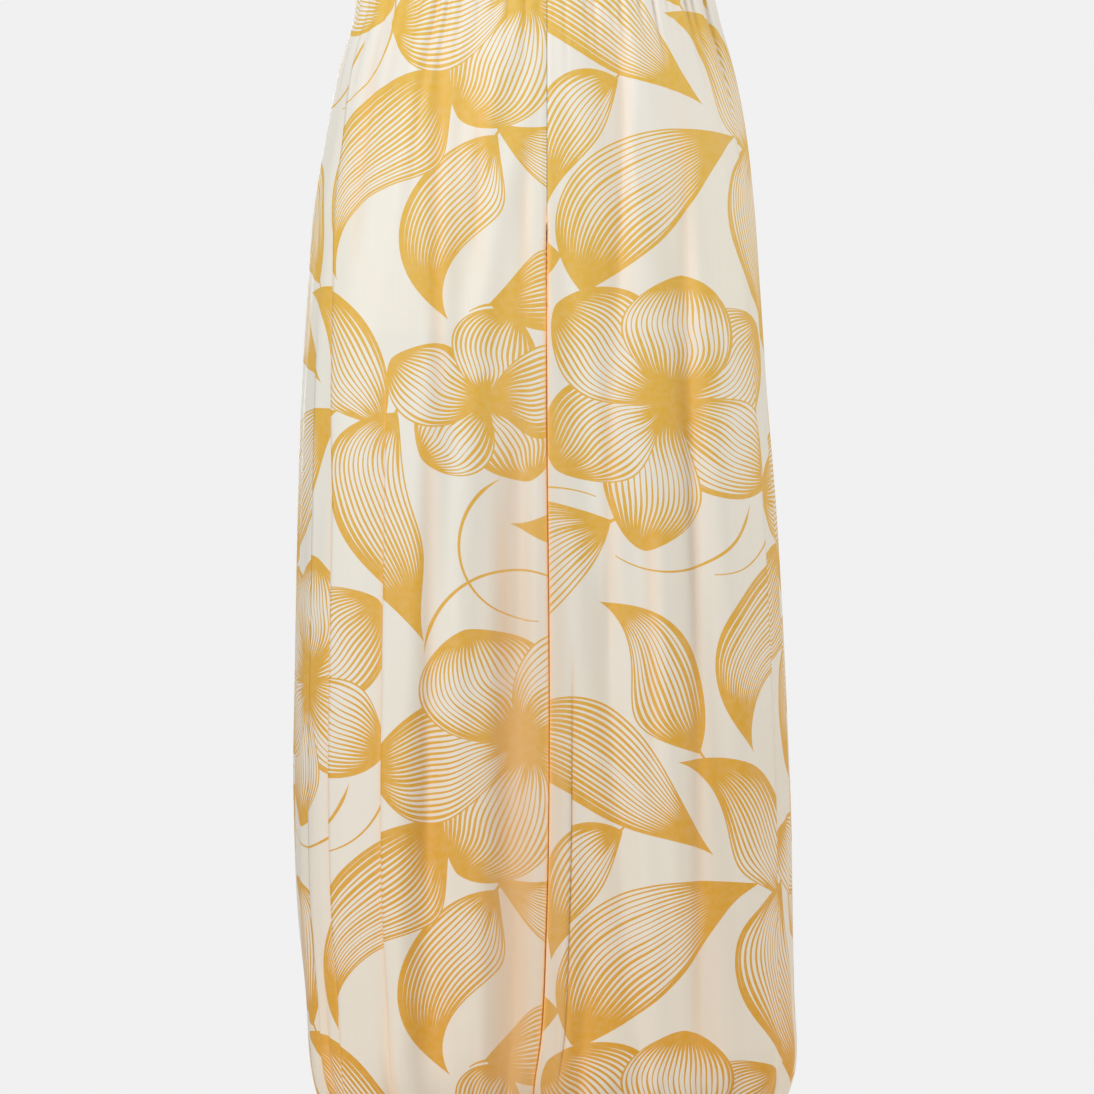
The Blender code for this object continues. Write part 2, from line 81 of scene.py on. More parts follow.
Outline = namedtuple("Outline", "height left right front back")
OUTLINE = (
    Outline(0.030, 0.139, 0.159, 0.0990, 0.1040),
    Outline(-0.018, 0.1400, 0.1610, 0.0995, 0.1050),
    Outline(-0.045, 0.1458, 0.1643, 0.1030, 0.1090),
    Outline(-0.079, 0.1560, 0.1745, 0.1085, 0.1155),
    Outline(-0.113, 0.1640, 0.1822, 0.1125, 0.1225),
    Outline(-0.155, 0.1705, 0.1893, 0.1155, 0.1290),
    Outline(-0.198, 0.1748, 0.1960, 0.1170, 0.1325),
    Outline(-0.283, 0.1805, 0.2022, 0.1180, 0.1320),
    Outline(-0.368, 0.1860, 0.2072, 0.1185, 0.1280),
    Outline(-0.453, 0.1930, 0.2098, 0.1190, 0.1245),
    Outline(-0.580, 0.2005, 0.2124, 0.1200, 0.1220),
    Outline(-0.708, 0.2062, 0.2142, 0.1220, 0.1225),
    Outline(-0.800, 0.2080, 0.2112, 0.1240, 0.1240),
    Outline(-0.878, 0.2095, 0.2042, 0.1250, 0.1250),
    Outline(-0.930, 0.2128, 0.2020, 0.1250, 0.1250),
    Outline(-0.960, 0.2130, 0.2020, 0.1240, 0.1240),
    Outline(-1.050, 0.2130, 0.2010, 0.1220, 0.1220),
)

Flat = namedtuple("Flat", "height share roundness")
FLATS = (
    Flat(0.030, 0.00, 2.20),
    Flat(-0.040, 0.08, 2.20),
    Flat(-0.100, 0.28, 2.22),
    Flat(-0.170, 0.58, 2.28),
    Flat(-0.230, 0.84, 2.38),
    Flat(-0.290, 1.00, 2.46),
    Flat(-0.340, 1.00, 2.50),
    Flat(-0.400, 1.00, 2.50),
)
LEGS_APART = 0.0006
APART_BELOW = 0.080
INNER_ROUNDNESS = {
    ("left", "front"): 150.0,
    ("right", "front"): 150.0,
    ("left", "back"): 4.0,
    ("right", "back"): 4.5,
}
INNER_SOFTENS = {"front": 4.0, "back": 1.0}

Lean = namedtuple("Lean", "height front deep")
LEANS = (
    Lean(-0.250, 0.0000, 0.0000),
    Lean(-0.340, 0.0000, 0.0060),
    Lean(-0.800, 0.0000, 0.0060),
    Lean(-0.890, -0.0040, 0.0040),
    Lean(-0.958, -0.0110, 0.0000),
    Lean(-0.995, -0.0060, 0.0000),
    Lean(-1.020, 0.0000, 0.0000),
)
Lap = namedtuple("Lap", "height over")
LAPS = (
    Lap(-0.200, 0.0000),
    Lap(-0.300, 0.0006),
    Lap(-0.400, 0.0012),
    Lap(-0.520, 0.0013),
    Lap(-0.640, 0.0016),
    Lap(-0.930, 0.0016),
    Lap(-0.960, 0.0020),
    Lap(-0.972, 0.0035),
    Lap(-0.985, 0.0035),
    Lap(-1.000, 0.0000),
)
LAP_STARTS = -0.228
LAP_SETTLES = 0.050
LAP_ROOM = 0.0004
LAP_ROOM_WIDTH = 0.007
LAP_DEEP = -0.088
LAP_FRONT = -0.112
LEAN_STARTS = 0.30       # share of the front's depth
LEAN_NEAR = 0.025
LEAN_FAR = 0.070


def smooth_step(value):
    """0 below 0, 1 above 1 and a soft rise between."""
    held = np.clip(value, 0.0, 1.0)
    return held * held * (3.0 - 2.0 * held)


def mix(a, b, share):
    """a, moved a share of the way to b."""
    return a + (b - a) * share


def ramp(height, start, end):
    """0 above start and 1 below end."""
    return float(np.clip((start - height) / (start - end), 0.0, 1.0))


def along(table, column, height):
    """A table's column at a height, on a smooth curve through its rows (Catmull-Rom)."""
    rows = sorted(table, key=lambda row: row.height)
    heights = np.array([row.height for row in rows])
    values = np.array([getattr(row, column) for row in rows])
    slopes = np.gradient(values, heights)
    at = float(np.clip(height, heights[0], heights[-1]))
    i = int(np.clip(np.searchsorted(heights, at) - 1, 0, len(heights) - 2))
    span = heights[i + 1] - heights[i]
    t = (at - heights[i]) / span
    rise = values[i + 1] - values[i]
    start, end = slopes[i] * span, slopes[i + 1] * span
    curve = t * start + t * t * (3 * rise - 2 * start - end) + t**3 * (start + end - 2 * rise)
    return float(values[i] + curve)


print("outline rows:", len(OUTLINE))

# %% [markdown]
# ## One leg, cut level at a height
# Each leg is closed by a front and a back panel. Cut level, a panel is a curve that starts at
# the inner seam, runs flat over the face of the leg and rounds into the side seam. Two
# quarters of a super-ellipse give that shape with very few numbers. Above the crotch the
# panel starts at the centre seam instead, and the crotch curve turns one into the other.

# %% The section curve
SECTION_STEPS = 360
TINY = 1e-6


def crotch_share(height, rise=0.0):
    """0 above the bend of the centre seam, 1 below the crotch."""
    return ramp(height, CROTCH_BEND + rise, CROTCH + rise)


def balloon(height):
    """1 on the straight leg, 0 at the cuff."""
    return 1.0 - ramp(height, BALLOON_START, PANEL_BOTTOM) ** BALLOON_POWER


def arc(centre, half, depth, roundness, angles):
    """Points of a super-ellipse at the given angles."""
    across = np.abs(np.cos(angles)) / half
    deep = np.abs(np.sin(angles)) / depth
    radius = (across**roundness + deep**roundness) ** (-1.0 / roundness)
    return np.column_stack([centre - radius * np.cos(angles), radius * np.sin(angles)])


def section(leg, face, height, inset=0.0, rise=0.0):
    """Points (x, y), outward normals and running distance, from inner seam to side seam."""
    full = balloon(height)
    share = crotch_share(height, rise)
    parted = LEGS_APART * smooth_step((CROTCH - height) / APART_BELOW)
    seam = HALF_GAP + parted + inset * share
    reach = mix(CUFF_CENTRE_X + CUFF_RADIUS, along(OUTLINE, leg, height), full) - inset
    depth = mix(CUFF_RADIUS, along(OUTLINE, face, height), full) - inset
    rounded_in = ramp(height, INNER_BALLOON_START, PANEL_BOTTOM) ** INNER_BALLOON_POWER
    inner = mix(seam, CUFF_CENTRE_X - CUFF_RADIUS, rounded_in)
    half_leg = (reach - inner) / 2
    inner_round = mix(ELLIPSE, INNER_ROUNDNESS[leg, face], full ** INNER_SOFTENS[face])
    outer_round = mix(ELLIPSE, along(FLATS, "roundness", height), full)
    inner_centre = inner + half_leg * smooth_step(share)
    outer_centre = max(inner_centre, inner + half_leg * along(FLATS, "share", height))
    inner_half, start = half_leg, math.pi / 2
    if share > 0.0:
        seam_depth = depth * math.sqrt(max(0.0, 1.0 - share * share))
        narrow = (1.0 - (seam_depth / depth) ** inner_round) ** (1.0 / inner_round)
        inner_half = (inner_centre - inner) / max(narrow, TINY)
        start = math.atan2(seam_depth, inner_centre - inner)
    inner_angles = np.linspace(start, math.pi / 2, SECTION_STEPS)
    outer_angles = np.linspace(math.pi / 2, math.pi, SECTION_STEPS)
    inner_arc = arc(inner_centre, inner_half, depth, inner_round, inner_angles)
    outer_arc = arc(outer_centre, reach - outer_centre, depth, outer_round, outer_angles)
    points = np.vstack([inner_arc, outer_arc])
    facing = -1.0 if face == "front" else 1.0
    points[:, 1] = facing * (points[:, 1] + HALF_GAP) + mix(CUFF_CENTRE_Y, 0.0, full)
    apart = np.hypot(*np.diff(points, axis=0).T) > TINY
    points = points[np.concatenate([[True], apart])]
    distance = np.concatenate([[0.0], np.cumsum(np.hypot(*np.diff(points, axis=0).T))])
    tangent = np.gradient(points, distance, axis=0)
    tangent /= np.hypot(*tangent.T)[:, None]
    normals = facing * np.column_stack([-tangent[:, 1], tangent[:, 0]])
    return points, normals, distance


def lean(x, y, height, leg):
    """A row's points in the garment's frame, with the inner front edges leant over."""
    side = 1.0 if leg == "left" else -1.0
    near = 1.0 - smooth_step((x - LEAN_NEAR) / (LEAN_FAR - LEAN_NEAR))
    face = mix(CUFF_RADIUS, along(OUTLINE, "front", height), balloon(height)) + HALF_GAP
    forward = np.clip((-y / face - LEAN_STARTS) / (1.0 - LEAN_STARTS), 0.0, 1.0) ** 3
    moved = mix(along(LEANS, "deep", height), along(LEANS, "front", height), forward)
    if leg == "left":
        edge = smooth_step((LAP_DEEP - y) / (LAP_DEEP - LAP_FRONT))
        moved = moved - along(LAPS, "over", height) * edge
    return np.column_stack([side * x + moved * near, y, np.full_like(x, height)])


print("half a hip, along the front:", round(section("left", "front", -0.2)[2][-1], 3), "m")

# %% [markdown]
# ## Folds and creases
# The legs hang in a few flat knife folds, where the cloth doubles back under itself and the
# print jumps, and in many soft troughs that only show as bands of light. The knife folds
# are listed with the heights where they start, lie deep and are fully tucked. The soft ones
# are smooth dents pushed into the surface.

# %% Fold and crease tables
Fold = namedtuple("Fold", "leg face share_top share_low starts deep full tuck")
FOLD_TOP = -0.030
FOLD_LOW = -0.450
FOLDS = (
    Fold("right", "front", 0.620, 0.638, -0.330, -0.385, -0.460, 0.0060),
    Fold("right", "front", 0.935, 0.842, -0.048, -0.078, -0.118, 0.0070),
    Fold("right", "front", 0.955, 0.930, -0.300, -0.330, -0.385, 0.0050),
    Fold("left", "front", 0.094, 0.092, -0.560, -0.640, -0.720, 0.0030),
    Fold("left", "front", 0.930, 0.925, -0.330, -0.385, -0.460, 0.0070),
    Fold("left", "back", 0.420, 0.440, -0.300, -0.330, -0.385, 0.0070),
    Fold("left", "back", 0.830, 0.840, -0.225, -0.300, -0.330, 0.0070),
    Fold("right", "back", 0.520, 0.500, -0.165, -0.225, -0.300, 0.0060),
    Fold("right", "back", 0.870, 0.860, -0.385, -0.460, -0.560, 0.0070),
)
FoldEnd = namedtuple("FoldEnd", "full deep closed")
FOLD_END = FoldEnd(-0.780, -0.905, -0.975)
FOLD_UNDER = 0.0012
FOLD_REST = 0.0004
FOLD_TURN = 0.0004
FOLD_STEP_SHARE = 0.33
FOLD_LAP = 0.0030
FOLD_OPEN_STEP = 0.0012
FOLD_RECOVERS = 0.040

Crease = namedtuple("Crease", "leg face share_top share_low top bottom width depth")
CREASES = (
    Crease("right", "front", 0.36, 0.42, -0.020, -0.330, 0.016, -0.0050),
    Crease("right", "front", 0.62, 0.66, -0.020, -0.260, 0.013, 0.0030),
    Crease("right", "front", 0.145, 0.125, -0.360, -0.995, 0.013, -0.0065),
    Crease("right", "front", 0.42, 0.44, -0.600, -0.985, 0.018, -0.0060),
    Crease("right", "front", 0.28, 0.30, -0.500, -0.960, 0.020, 0.0040),
    Crease("left", "front", 0.33, 0.35, -0.020, -0.390, 0.014, -0.0045),
    Crease("left", "front", 0.62, 0.65, -0.150, -0.985, 0.017, -0.0055),
    Crease("left", "front", 0.48, 0.50, -0.300, -0.900, 0.020, 0.0040),
    Crease("left", "front", 0.22, 0.26, -0.480, -0.930, 0.018, -0.0040),
    Crease("right", "front", 0.50, 0.28, -0.020, -0.420, 0.0065, -0.0026),
    Crease("right", "front", 0.30, 0.24, -0.060, -0.300, 0.0060, -0.0018),
    Crease("right", "front", 0.09, 0.08, -0.140, -0.340, 0.0060, -0.0016),
    Crease("right", "front", 0.82, 0.70, -0.040, -0.280, 0.0060, -0.0020),
    Crease("right", "front", 0.46, 0.46, -0.360, -0.820, 0.0065, -0.0024),
    Crease("right", "front", 0.20, 0.16, -0.420, -0.820, 0.0060, -0.0020),
    Crease("left", "front", 0.42, 0.04, -0.020, -0.340, 0.0060, -0.0024),
    Crease("left", "front", 0.31, 0.22, -0.300, -0.620, 0.0065, -0.0024),
    Crease("left", "front", 0.68, 0.58, -0.100, -0.980, 0.0065, -0.0028),
    Crease("left", "front", 0.44, 0.43, -0.420, -0.700, 0.0060, -0.0018),
    Crease("left", "back", 0.25, 0.24, -0.040, -0.400, 0.017, -0.0050),
    Crease("left", "back", 0.66, 0.64, -0.300, -0.970, 0.019, -0.0060),
    Crease("left", "back", 0.20, 0.22, -0.450, -0.940, 0.019, 0.0045),
    Crease("right", "back", 0.30, 0.33, -0.030, -0.350, 0.016, -0.0045),
    Crease("right", "back", 0.70, 0.71, -0.260, -0.980, 0.018, -0.0055),
    Crease("right", "back", 0.24, 0.22, -0.500, -0.950, 0.020, -0.0050),
    Crease("left", "back", 0.54, 0.50, -0.050, -0.550, 0.0065, -0.0024),
    Crease("left", "back", 0.33, 0.36, -0.400, -0.950, 0.0065, -0.0024),
    Crease("right", "back", 0.40, 0.36, -0.050, -0.500, 0.0065, -0.0024),
    Crease("right", "back", 0.61, 0.58, -0.350, -0.900, 0.0065, -0.0024),
)
CREASE_FADE = 0.090
# painted shade: a warm tint put into the cloth's colour along the soft creases, more in narrow
# ones
PAINTED_CREASE_SHADE = 0.0012   # over a crease's width, so narrow creases look warmer


def fold_share(fold, height):
    """Where the fold's edge lies at a height, as a share of the reach."""
    down = np.clip((FOLD_TOP - height) / (FOLD_TOP - FOLD_LOW), 0.0, 1.0)
    return mix(fold.share_top, fold.share_low, down)


def fold_state(fold, height):
    """How deep the fold's layers lie (0 to 1), then how far it is tucked under (0 to 1)."""
    deep = min(ramp(height, fold.starts, fold.deep),
               1.0 - ramp(height, FOLD_END.deep, FOLD_END.closed))
    tucked = min(ramp(height, fold.deep, fold.full),
                 1.0 - ramp(height, FOLD_END.full, FOLD_END.deep))
    return float(smooth_step(deep)), float(smooth_step(tucked))


def under_fold(fold, height, edge, base):
    """Places and depths of the three columns past a fold's edge, under the upper layer."""
    deep, tucked = fold_state(fold, height)
    turn = edge + mix(FOLD_OPEN_STEP, FOLD_TURN, deep)
    turned_back = turn + mix(FOLD_OPEN_STEP * (1.0 - deep), -fold.tuck, tucked)
    round_it = mix(FOLD_TURN, -FOLD_TURN, tucked)
    lowest = turned_back + mix(FOLD_OPEN_STEP, round_it, deep)
    first_step = FOLD_UNDER * mix(FOLD_STEP_SHARE, 1.0, tucked)
    steps = (first_step, FOLD_UNDER, FOLD_UNDER + FOLD_REST)
    return [turn, turned_back, lowest], [base + deep * step for step in steps]


print("knife folds:", len(FOLDS), " soft creases:", len(CREASES))

# %% [markdown]
# ## Gathers
# Elastic draws more cloth into the waist and ankles than fits there, so it crinkles. No two
# gathers are alike: each has its own place, depth and length. A seeded random generator
# gives each panel its own set, and the same set every time the script runs.

# %% Random gathers for a panel
Gather = namedtuple("Gather", "share width depth fade")
WAIST_GATHERS = dict(count=17, width=0.014, depth=0.0032, fade=0.070)
ANKLE_GATHERS = dict(count=15, width=0.015, depth=0.0088, fade=0.066)
GATHER_PLACES = (0.2, 0.8)       # within a gather's own part of the panel
GATHER_DEPTHS = (0.45, 1.25)     # shares of the depth, the fade and the width above
GATHER_FADES = (0.45, 1.0)
GATHER_WIDTHS = (0.7, 1.2)
LONG_GATHERS = 0.25              # this share of them reaches further
LONG_REACH = 2.2
GATHER_FALL = 1.6
HELD_AT_SEAM = 0.4
FREE_FROM_SEAM = 0.012
GATHER_SEEDS = {("left", "front"): 3, ("right", "front"): 8,
                ("left", "back"): 14, ("right", "back"): 21}


def gathers(seed, count, width, depth, fade):
    """Gathers across a panel; a share is a part of the way from inner to side seam."""
    dice = random.Random(seed)
    found = []
    for number in range(count):
        share = (number + dice.uniform(*GATHER_PLACES)) / count
        size = dice.uniform(*GATHER_DEPTHS)
        length = fade * dice.uniform(*GATHER_FADES)
        length *= LONG_REACH if dice.random() < LONG_GATHERS else 1.0
        found.append(Gather(share, width * dice.uniform(*GATHER_WIDTHS), depth * size, length))
    return found


def gather_depth(found, share, away):
    """How far gathers press a row in at a distance from the elastic."""
    out = np.zeros_like(share)
    held = mix(HELD_AT_SEAM, 1.0, float(smooth_step(away / FREE_FROM_SEAM)))
    for row in found:
        here = np.exp(-(((share - row.share) / row.width) ** 2))
        fade = math.exp(-((away / row.fade) ** GATHER_FALL))
        out -= held * row.depth * fade * (here - row.width)
    return out


print("gathers on a panel:", WAIST_GATHERS["count"] + ANKLE_GATHERS["count"])

# %% [markdown]
# ## A panel as rows of points
# The panel is a grid: columns run down the cloth and rows run across it. At a knife fold
# three extra columns turn under the edge. Each row also keeps its running length with the
# turned-under part counted, because that is where a point lies on the flat cloth, and the
# print has to be laid out on the flat cloth.

# %% The panel grid
PITCH = 0.0025
INNER_COLUMNS = 14
INNER_STRIP = 0.016
INNER_CROWDING = 1.3     # more than 1 sets the columns closer at the inseam
LAST_COLUMN = 0.7        # the extra column by the side seam, between the last two
INNER_EDGE_TURN = {"front": 0.985, "back": 0.94}
EDGE_STEPS = (0.0010, 0.0017, 0.0021, 0.0027)
PITCH_HEIGHT = -0.500
SEAM_DIP = 0.0007
SEAM_DIP_WIDTH = 0.0022
GRAIN_X = 0.055
WAIST_FULLNESS = 1.10
WAIST_FULLNESS_FADE = 0.090
SWELL = 0.0016
SWELL_AT_WAIST = 0.3
SWELLS = 6
SWELL_WAVES = (60.0, 30.0)   # radians to a metre: the first wave's, then what each adds
SWELL_DRIFT = (2.0, 1.3)     # the same down the whole panel
ANKLE_SEED = 100
SEAM_HOLD = 0.006
EDGE_HOLD = 0.011
# painted warm shade kept for each point: by the gap between the legs, under and beside the knife
# folds and in the valleys of the gathers
PAINTED_GAP_SHADE_WIDTH = 0.0024
PAINTED_GAP_SHADE_STARTS = -0.190
PAINTED_GAP_SHADE_SETTLES = 0.060
PAINTED_FOLD_SHADE = 0.34
PAINTED_VALLEY_SHADE = 0.26
VALLEY_DEPTH = 0.0040
PAINTED_FOLD_SHADE_WIDTH = 0.0030


def inner_edge(points, distance, face):
    """Distance from the inseam to where a section turns onto the leg's face."""
    depth = np.abs(points[:, 1])
    return float(distance[int(np.argmax(depth >= INNER_EDGE_TURN[face] * depth.max()))])


def painted_fold_shade(beyond):
    """How much warm shade is painted on the lower layer at a distance beyond a fold's edge."""
    return PAINTED_FOLD_SHADE * np.exp(-((np.maximum(beyond, 0.0) / PAINTED_FOLD_SHADE_WIDTH) ** 2))


class LegPanel:
    """The fine grid of one leg panel, from the inner seam to the side seam."""

    def __init__(self, leg, face):
        self.leg, self.face = leg, face
        self.folds = [row for row in FOLDS if (row.leg, row.face) == (leg, face)]
        self.folds.sort(key=lambda row: row.share_low)
        self.creases = [row for row in CREASES if (row.leg, row.face) == (leg, face)]
        seed = GATHER_SEEDS[leg, face]
        self.waist = gathers(seed, **WAIST_GATHERS)
        self.ankle = gathers(seed + ANKLE_SEED, **ANKLE_GATHERS)
        self.phases = [random.Random(seed + k).uniform(0, 2 * math.pi) for k in range(SWELLS)]
        points, _, distance = section(leg, face, PITCH_HEIGHT)
        reach = along(OUTLINE, leg, PITCH_HEIGHT)
        shares = [fold_share(fold, PITCH_HEIGHT) for fold in self.folds]
        edges = np.interp(np.array(shares) * reach, points[:, 0], distance)
        start = inner_edge(points, distance, face) + EDGE_STEPS[-1]
        marks = np.concatenate([[start], edges, distance[-1:]])
        self.counts = [max(2, round(gap / PITCH)) for gap in np.diff(marks)]

    def columns(self, height, points, distance):
        """Each column's distance along the section, how deep it lies under a fold and how
        much warm shade is painted on it by the fold."""
        full = balloon(height)
        edge = inner_edge(points, distance, self.face)
        start = mix(INNER_STRIP, edge, crotch_share(height))
        reach = mix(CUFF_CENTRE_X + CUFF_RADIUS, along(OUTLINE, self.leg, height), full)
        place = list(start * np.linspace(0.0, 1.0, INNER_COLUMNS + 1) ** INNER_CROWDING)
        place += [start + step for step in EDGE_STEPS]
        start = place[-1]
        depth = [0.0] * len(place)
        warmth = [0.0] * len(place)
        under, last_edge, last_deep = 0.0, 0.0, 0.0
        for fold, count in zip(self.folds, self.counts):
            deep = fold_state(fold, height)[0]
            lap = mix(FOLD_OPEN_STEP, FOLD_LAP, deep)
            edge = np.interp(fold_share(fold, height) * reach, points[:, 0], distance)
            edge = max(edge, start + lap + FOLD_OPEN_STEP * count)
            strip = np.append(np.linspace(start, edge - lap, count + 1)[1:], edge)
            place.extend(strip)
            depth.extend(under * (1.0 - smooth_step((strip - last_edge) / FOLD_RECOVERS)))
            warmth.extend(last_deep * painted_fold_shade(strip - last_edge))
            hidden, deeper = under_fold(fold, height, edge, depth[-1])
            place.extend(hidden)
            depth.extend(deeper)
            warmth.extend([deep * PAINTED_FOLD_SHADE] * len(hidden))
            start, under, last_edge, last_deep = hidden[-1], deeper[-1], edge, deep
        strip = np.linspace(start, distance[-1], self.counts[-1] + 1)[1:]
        strip = np.append(strip[:-1], [mix(strip[-2], strip[-1], LAST_COLUMN), strip[-1]])
        place.extend(strip)
        depth.extend(under * (1.0 - smooth_step((strip - last_edge) / FOLD_RECOVERS)))
        warmth.extend(last_deep * painted_fold_shade(strip - last_edge))
        depth[-1] = 0.0
        return np.array(place), np.array(depth), np.array(warmth)

    def creased(self, x, height):
        """How far the soft creases press the cloth in and how much warm shade is painted in
        them.
        """
        reach = along(OUTLINE, self.leg, height)
        down = ramp(height, FOLD_TOP, PANEL_BOTTOM)
        out, warmth = np.zeros_like(x), np.zeros_like(x)
        for row in self.creases:
            fade = smooth_step((row.top - height) / CREASE_FADE)
            fade *= smooth_step((height - row.bottom) / CREASE_FADE)
            centre = mix(row.share_top, row.share_low, down) * reach
            here = fade * np.exp(-(((x - centre) / row.width) ** 2))
            out += row.depth * here
            if row.depth < 0:
                warmth = np.maximum(warmth, PAINTED_CREASE_SHADE / row.width * here)
        return out, warmth

    def relief(self, x, place, height, length, facing, pushed):
        """How far the cloth moves out or in: what creases and gathers have pushed, with
        soft swells, and with the seams held down."""
        down = ramp(height, FOLD_TOP, PANEL_BOTTOM)
        out = pushed.copy()
        calm = mix(SWELL_AT_WAIST, 1.0, down) * balloon(height)
        from_side = length - place
        for number, phase in enumerate(self.phases):
            turns, drift = (first + more * number for first, more in (SWELL_WAVES, SWELL_DRIFT))
            wave = turns * from_side + drift * down + phase
            out += SWELL * calm * np.sin(wave) / (1 + number) ** 0.5
        ends = np.minimum(place, length - place)
        out *= 1.0 - np.exp(-((ends / SEAM_HOLD) ** 2))
        pressed = 1.0 - smooth_step(ramp(height, INNER_BALLOON_START, PANEL_BOTTOM))
        out *= 1.0 - pressed * np.exp(-((x / EDGE_HOLD) ** 2))
        if (self.leg, self.face) == ("right", "front"):
            under_lap = smooth_step((LAP_STARTS - height) / LAP_SETTLES)
            out -= LAP_ROOM * under_lap * facing * np.exp(-((x / LAP_ROOM_WIDTH) ** 2))
        return out - SEAM_DIP * np.exp(-((ends / SEAM_DIP_WIDTH) ** 2))

    def row(self, height):
        """Points of the cloth's outer face at a height, their running flat length, the
        grain line's place and the warm shade painted at each point."""
        points, normals, distance = section(self.leg, self.face, height)
        place, depth, warmth = self.columns(height, points, distance)
        x = np.interp(place, distance, points[:, 0])
        y = np.interp(place, distance, points[:, 1])
        normal_x = np.interp(place, distance, normals[:, 0])
        normal_y = np.interp(place, distance, normals[:, 1])
        steps = np.hypot(np.diff(place), np.diff(depth))
        flat = np.concatenate([[0.0], np.cumsum(steps)])
        grain = np.interp(GRAIN_X, np.maximum.accumulate(x), flat)
        share = place / distance[-1]
        gathered = gather_depth(self.waist, share, PANEL_TOP - height)
        gathered += gather_depth(self.ankle, share, height - PANEL_BOTTOM)
        creased, crease_warmth = self.creased(x, height)
        out = self.relief(x, place, height, distance[-1], np.abs(normal_y),
                          creased + gathered) - depth
        x = np.maximum(x + normal_x * out, HALF_GAP)
        # painted warm shade by the gap between the legs, in the creases and in the gathers'
        # valleys
        low = smooth_step((PAINTED_GAP_SHADE_STARTS - height) / PAINTED_GAP_SHADE_SETTLES)
        warmth = np.maximum(warmth, low * np.exp(-((x / PAINTED_GAP_SHADE_WIDTH) ** 2)))
        valley = np.clip(-gathered / VALLEY_DEPTH, 0.0, 1.0)
        warmth = np.maximum(np.maximum(warmth, crease_warmth), PAINTED_VALLEY_SHADE * valley)
        return lean(x, y + normal_y * out, height, self.leg), flat, grain, warmth


WAIST_ROWS_END = -0.060
ROWS = dict(waist=18, hips=34, crotch=20, legs=121, balloon=51)


def crotch_heights(count, rise=0.0):
    """Heights down the crotch curve, closer together where it turns."""
    angles = np.linspace(0.0, math.pi / 2, count)
    return CROTCH_BEND + rise - (CROTCH_BEND - CROTCH) * np.sin(angles)


def panel_heights():
    """Heights of the rows, closer together round the crotch and by the elastics."""
    top = np.concatenate([np.linspace(PANEL_TOP, WAIST_ROWS_END, ROWS["waist"])[:-1],
                          np.linspace(WAIST_ROWS_END, CROTCH_BEND, ROWS["hips"])[:-1]])
    legs = np.concatenate([np.linspace(CROTCH, BALLOON_START, ROWS["legs"])[1:],
                           np.linspace(BALLOON_START, PANEL_BOTTOM, ROWS["balloon"])[1:]])
    return np.concatenate([top, crotch_heights(ROWS["crotch"]), legs])


HEIGHTS = panel_heights()
print("rows:", len(HEIGHTS), " columns:", len(LegPanel("right", "front").row(-0.5)[1]))

# %% [markdown]
# ## Where each point lies on the flat cloth
# Print and weave belong to the flat cloth, before it is cut and folded. So each grid point
# gets a place across and down the flat cloth, in metres. Across is the running length from
# a straight grain line in the middle of the leg; in the gathers more cloth is packed into
# the same length. Down is the length walked down the leg.

# %% Flat places of a panel's grid
MIDDLE_COLUMN = 0.45     # share of the columns, counted from the inseam


def flat_places(rows):
    """Across and down on the flat cloth, as two arrays of rows by columns."""
    points = np.array([row[0] for row in rows])
    flat = np.array([row[1] for row in rows])
    grain = np.array([row[2] for row in rows])
    width = flat[:, -1].copy()
    balloon_row = int(np.argmax(HEIGHTS <= BALLOON_START))
    width[balloon_row:] = width[balloon_row]
    grain[balloon_row:] = grain[balloon_row]
    near_waist = np.exp(-(((PANEL_TOP - HEIGHTS) / WAIST_FULLNESS_FADE) ** 2))
    fullness = width / flat[:, -1] * (1.0 + (WAIST_FULLNESS - 1.0) * near_waist)
    across = flat * fullness[:, None] - grain[:, None]
    middle = int(points.shape[1] * MIDDLE_COLUMN)
    steps = np.linalg.norm(np.diff(points[:, middle], axis=0), axis=1)
    straight = -np.diff(HEIGHTS)
    steps = np.where(HEIGHTS[1:] > BALLOON_START, straight, steps)
    down = np.concatenate([[0.0], np.cumsum(steps)])
    return points, across, np.repeat(down[:, None], points.shape[1], axis=1)


# %% [markdown]
# ## The print
# The cloth is printed all over with open blossoms, broad leaves and thin tendrils, drawn in
# gold lines. The motifs are plain ones laid out for this lesson. A picture could be used,
# but here each motif is described by a handful of numbers: where it starts, which way it
# grows, how long and wide it is and how it bends. Each corner of the cloth mesh is told how
# far along and across its motif it lies, and the shader draws the lines from that, so they
# stay sharp at any size.

# %% Motifs of one repeat of the print
REPEAT_ACROSS = 0.46
REPEAT_DOWN = 0.62
Motif = namedtuple("Motif", "across down heading length bend width skew round sway")
LEAF_FORM = (0.72, 1.25)
PETAL_FORM = (1.12, 0.64)
TENDRIL_FORM = (1.0, 0.0)

Blossom = namedtuple("Blossom", "across down radius turn petals width bend")
BLOSSOMS = (
    Blossom(0.115, 0.115, 0.108, 20, 5, 0.050, 24),
    Blossom(0.345, 0.375, 0.115, -14, 6, 0.045, -20),
    Blossom(0.090, 0.455, 0.078, 50, 5, 0.036, 18),
)
PETAL_START = 0.003
PETAL_TURNS = (-0.12, 0.12)      # each petal draws its own form from these ranges
PETAL_LENGTHS = (0.86, 1.12)
PETAL_BENDS = (0.4, 1.9)
PETAL_WIDTHS = (0.90, 1.10)
PETAL_SWAYS = (-0.03, 0.09)
EYE_RADIUS = 0.0077
EYE_FORM = (1.0, 0.5)

